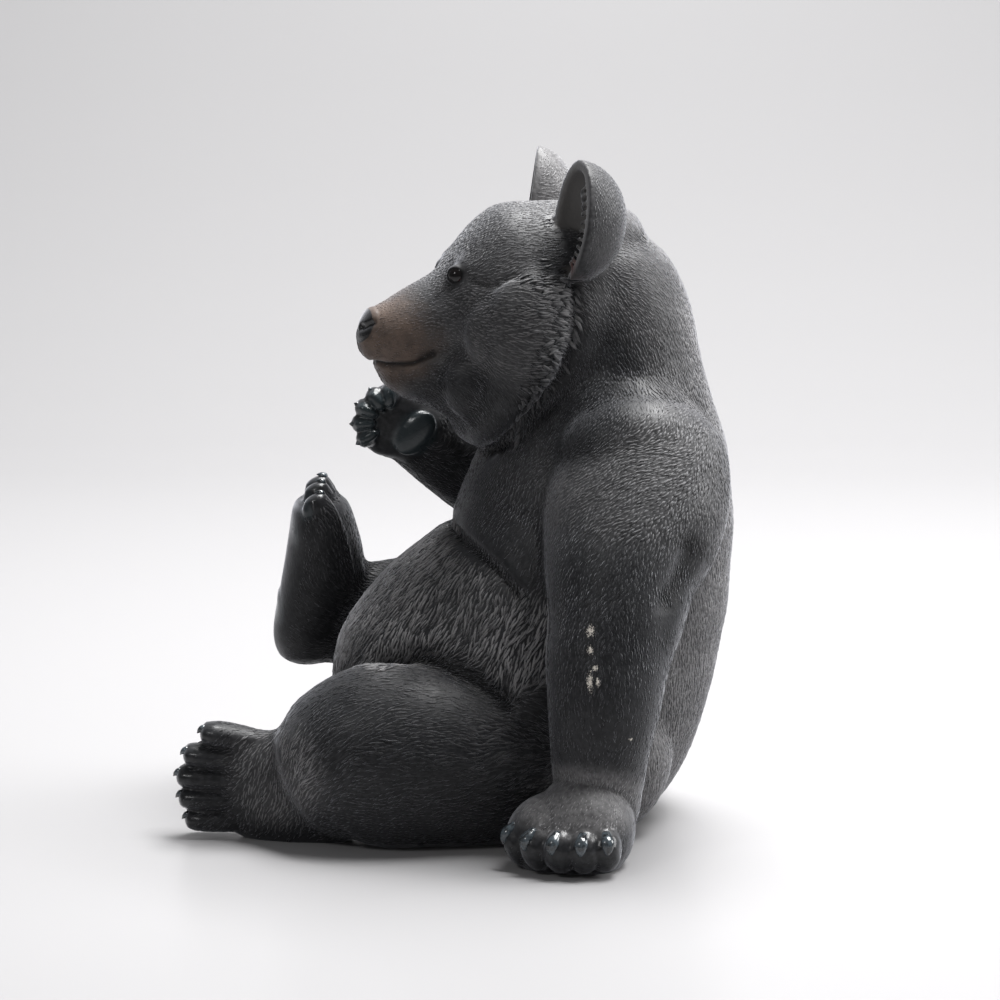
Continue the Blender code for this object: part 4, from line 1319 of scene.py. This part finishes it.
def fur_tree():
    """Scatters strokes over the skin, each laid along the flow of the coat."""
    tree = bpy.data.node_groups.new("carved fur", "GeometryNodeTree")
    tree.interface.new_socket("Skin", in_out="INPUT", socket_type="NodeSocketGeometry")
    for name, value in (("Spacing", 0.0015), ("Length", 0.005), ("Width", 0.0012), ("Height", 0.0004), ("Wave", 1.0)):
        socket = tree.interface.new_socket(name, in_out="INPUT", socket_type="NodeSocketFloat")
        socket.default_value = value
    tree.interface.new_socket("Seed", in_out="INPUT", socket_type="NodeSocketInt")
    tree.interface.new_socket("Fur", in_out="OUTPUT", socket_type="NodeSocketGeometry")
    given = tree.nodes.new("NodeGroupInput").outputs

    here = node(tree, "GeometryNodeInputNamedAttribute", {"Name": "here"}, data_type="FLOAT").outputs[0]
    spread = node(tree, "GeometryNodeDistributePointsOnFaces", {
        "Mesh": given["Skin"],
        "Distance Min": given["Spacing"],
        "Density Max": 2.5e6,
        "Density Factor": here,
        "Seed": given["Seed"],
    }, distribute_method="POISSON")
    way = node(tree, "GeometryNodeInputNamedAttribute", {"Name": "flow"}, data_type="FLOAT_VECTOR").outputs[0]
    size = node(tree, "GeometryNodeInputNamedAttribute", {"Name": "stroke"}, data_type="FLOAT").outputs[0]
    laid = node(tree, "FunctionNodeAxesToRotation", {
        "Primary Axis": way,
        "Secondary Axis": spread.outputs["Normal"],
    }, primary_axis="X", secondary_axis="Z").outputs[0]
    stray = node(tree, "FunctionNodeRandomValue", {"Min": (-0.05, -0.03, -0.2), "Max": (0.05, 0.05, 0.2)},
                 data_type="FLOAT_VECTOR")
    where = tree.nodes.new("GeometryNodeInputPosition").outputs[0]
    wave = maths(tree, "SUBTRACT", noise(tree, where, 95.0, 2), 0.5)
    waved = node(tree, "ShaderNodeCombineXYZ", {"Z": maths(tree, "MULTIPLY", wave, given["Wave"])}).outputs[0]
    strayed = node(tree, "ShaderNodeVectorMath", {0: stray.outputs[0], 1: waved}, operation="ADD").outputs[0]
    stray_turn = node(tree, "FunctionNodeEulerToRotation", {0: strayed}).outputs[0]
    turned_to = node(tree, "FunctionNodeRotateRotation", {0: laid, 1: stray_turn}, rotation_space="LOCAL").outputs[0]

    vary = node(tree, "FunctionNodeRandomValue", {2: 0.75, 3: 1.25}, data_type="FLOAT").outputs[1]
    grown = maths(tree, "MULTIPLY", size, vary)
    scale = node(tree, "ShaderNodeCombineXYZ", {
        "X": maths(tree, "MULTIPLY", given["Length"], grown),
        "Y": maths(tree, "MULTIPLY", given["Width"], maths(tree, "POWER", grown, 0.7)),
        "Z": maths(tree, "MULTIPLY", given["Height"], grown),
    }).outputs[0]
    shapes = node(tree, "GeometryNodeCollectionInfo", {0: stroke_shapes, 1: True, 2: True}).outputs[0]
    strokes = node(tree, "GeometryNodeInstanceOnPoints", {
        "Points": spread.outputs["Points"],
        "Instance": shapes,
        "Pick Instance": True,
        "Rotation": turned_to,
        "Scale": scale,
    }).outputs[0]
    shade = node(tree, "FunctionNodeRandomValue", {2: 0.0, 3: 1.0}, data_type="FLOAT").outputs[1]
    tinted = node(tree, "GeometryNodeStoreNamedAttribute", {"Geometry": strokes, "Name": "tint", "Value": shade},
                  data_type="FLOAT", domain="INSTANCE").outputs[0]
    real = node(tree, "GeometryNodeRealizeInstances", {"Geometry": tinted}).outputs[0]
    painted = node(tree, "GeometryNodeSetMaterial", {"Geometry": real, "Material": coat_paint}).outputs[0]
    tree.links.new(painted, tree.nodes.new("NodeGroupOutput").inputs[0])
    return tree


# Spacing, length, width and height of the strokes in each part of the coat in units, and their waviness
COATS = {
    "head": (1.28, 4.4, 1.30, 0.44, 1.2),
    "back": (1.45, 5.0, 1.45, 0.52, 1.6),
    "shoulders": (1.42, 4.8, 1.35, 0.44, 1.6),
    "chest": (1.45, 4.4, 1.30, 0.17, 1.2),
    "belly": (1.60, 6.2, 1.45, 0.70, 2.0),
    "left arm": (1.42, 4.6, 1.25, 0.17, 1.2),
    "left leg": (1.50, 6.0, 1.35, 0.28, 1.6),
    "right leg": (1.50, 5.0, 1.35, 0.30, 1.2),
    "right arm": (1.50, 5.0, 1.35, 0.28, 1.2),
}
carved_fur = fur_tree()
inputs_of = {item.name: item.identifier for item in carved_fur.interface.items_tree if item.in_out == "INPUT"}
strongest = coat_share.argmax(1)
for seed, part in enumerate(parts):
    spacing, length, width, height = (size * unit for size in COATS[part][:4])
    skin_mesh = cast_mesh.copy()
    here = np.where(strongest == seed, 1.0, 0.0) * (1 - bare)
    attribute = skin_mesh.attributes.new("here", "FLOAT", "POINT")
    attribute.data.foreach_set("value", here.astype(np.float32))
    combed = new_object("combed skin", skin_mesh)
    cutting = combed.modifiers.new("carved fur", "NODES")
    cutting.node_group = carved_fur
    cutting[inputs_of["Spacing"]] = spacing
    cutting[inputs_of["Length"]] = length
    cutting[inputs_of["Width"]] = width
    cutting[inputs_of["Height"]] = height
    cutting[inputs_of["Wave"]] = COATS[part][4]
    cutting[inputs_of["Seed"]] = seed + 3
    name = "fur_" + part.replace(" ", "_")
    fur_mesh = evaluated(combed, name)
    fur = new_object(name, fur_mesh)
    print(name, len(fur_mesh.polygons), "faces")
    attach(fur, "root")

# Floor, light and camera
# A pale sweep under one large soft light, high behind the cub, with weak light from the front.

FLOOR_GREY = (0.36, 0.356, 0.361)
PITCH = math.radians(9.3)
EYE_HEIGHT = 482.2  # camera, in units above the floor
STAND_OFF = 1973.7  # camera, in units in front of the drawing's middle

sweep_line = [(-2.6, 0.0), (1.1, 0.0)]
for step in range(1, 13):
    turn = math.radians(90 * step / 12)
    sweep_line.append((1.1 + 0.9 * math.sin(turn), 0.9 - 0.9 * math.cos(turn)))
sweep_line.append((2.0, 2.4))
sweep_shape = bmesh.new()
rows = [[sweep_shape.verts.new((x, y, z)) for x in (-3.0, 3.0)] for y, z in sweep_line]
for near, far in zip(rows, rows[1:]):
    sweep_shape.faces.new((near[0], near[1], far[1], far[0]))
sweep_mesh = bpy.data.meshes.new("sweep")
sweep_shape.to_mesh(sweep_mesh)
sweep_mesh.shade_smooth()
floor_paint = bpy.data.materials.new("studio_floor")
floor_paint.use_nodes = True
floor_surface = floor_paint.node_tree.nodes["Principled BSDF"]
floor_surface.inputs["Base Color"].default_value = (*FLOOR_GREY, 1)
floor_surface.inputs["Roughness"].default_value = 0.32
floor_surface.inputs["Specular IOR Level"].default_value = 0.35
sweep_mesh.materials.append(floor_paint)
sweep = new_object("sweep", sweep_mesh)
sweep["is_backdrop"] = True


def soft_light(name, place, target, size, power, colour=(1, 1, 1)):
    lamp = bpy.data.lights.new(name, "AREA")
    lamp.shape = "RECTANGLE"
    lamp.size, lamp.size_y = size
    lamp.energy = power
    lamp.color = colour
    made = bpy.data.objects.new(name, lamp)
    made.location = place
    made.rotation_euler = (Vector(target) - Vector(place)).to_track_quat("-Z", "Y").to_euler()
    bpy.context.scene.collection.objects.link(made)


soft_light("overhead", (0.42, 0.34, 1.70), (0, 0, 0.15), (1.6, 0.85), 98)
soft_light("side", (1.9, 0.25, 1.0), (0, 0, 0.15), (0.9, 0.9), 24)
soft_light("backdrop", (0.2, 1.0, 1.50), (0.1, 1.9, 0.6), (2.5, 0.6), 5)
soft_light("glint", (-0.75, -0.95, 1.05), (-0.04, 0, 0.27), (0.26, 0.26), 3.0)
world = bpy.data.worlds.new("studio")
world.use_nodes = True
world.node_tree.nodes["Background"].inputs[0].default_value = (0.93, 0.93, 0.95, 1)
world.node_tree.nodes["Background"].inputs[1].default_value = 0.17
bpy.context.scene.world = world
bpy.context.scene.view_settings.view_transform = "Standard"

camera_data = bpy.data.cameras.new("camera")
camera_data.lens = 144
camera_data.sensor_width = 36
camera = bpy.data.objects.new("camera", camera_data)
camera.location = over_origin @ Vector((0, -STAND_OFF, EYE_HEIGHT))
camera.rotation_euler = (math.pi / 2 - PITCH, 0, 0)
bpy.context.scene.collection.objects.link(camera)
bpy.context.scene.camera = camera

sizes = {"cad_box": [list(corner) for corner in cad_box]}
sizes["visual_box"] = [list(corner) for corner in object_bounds()]
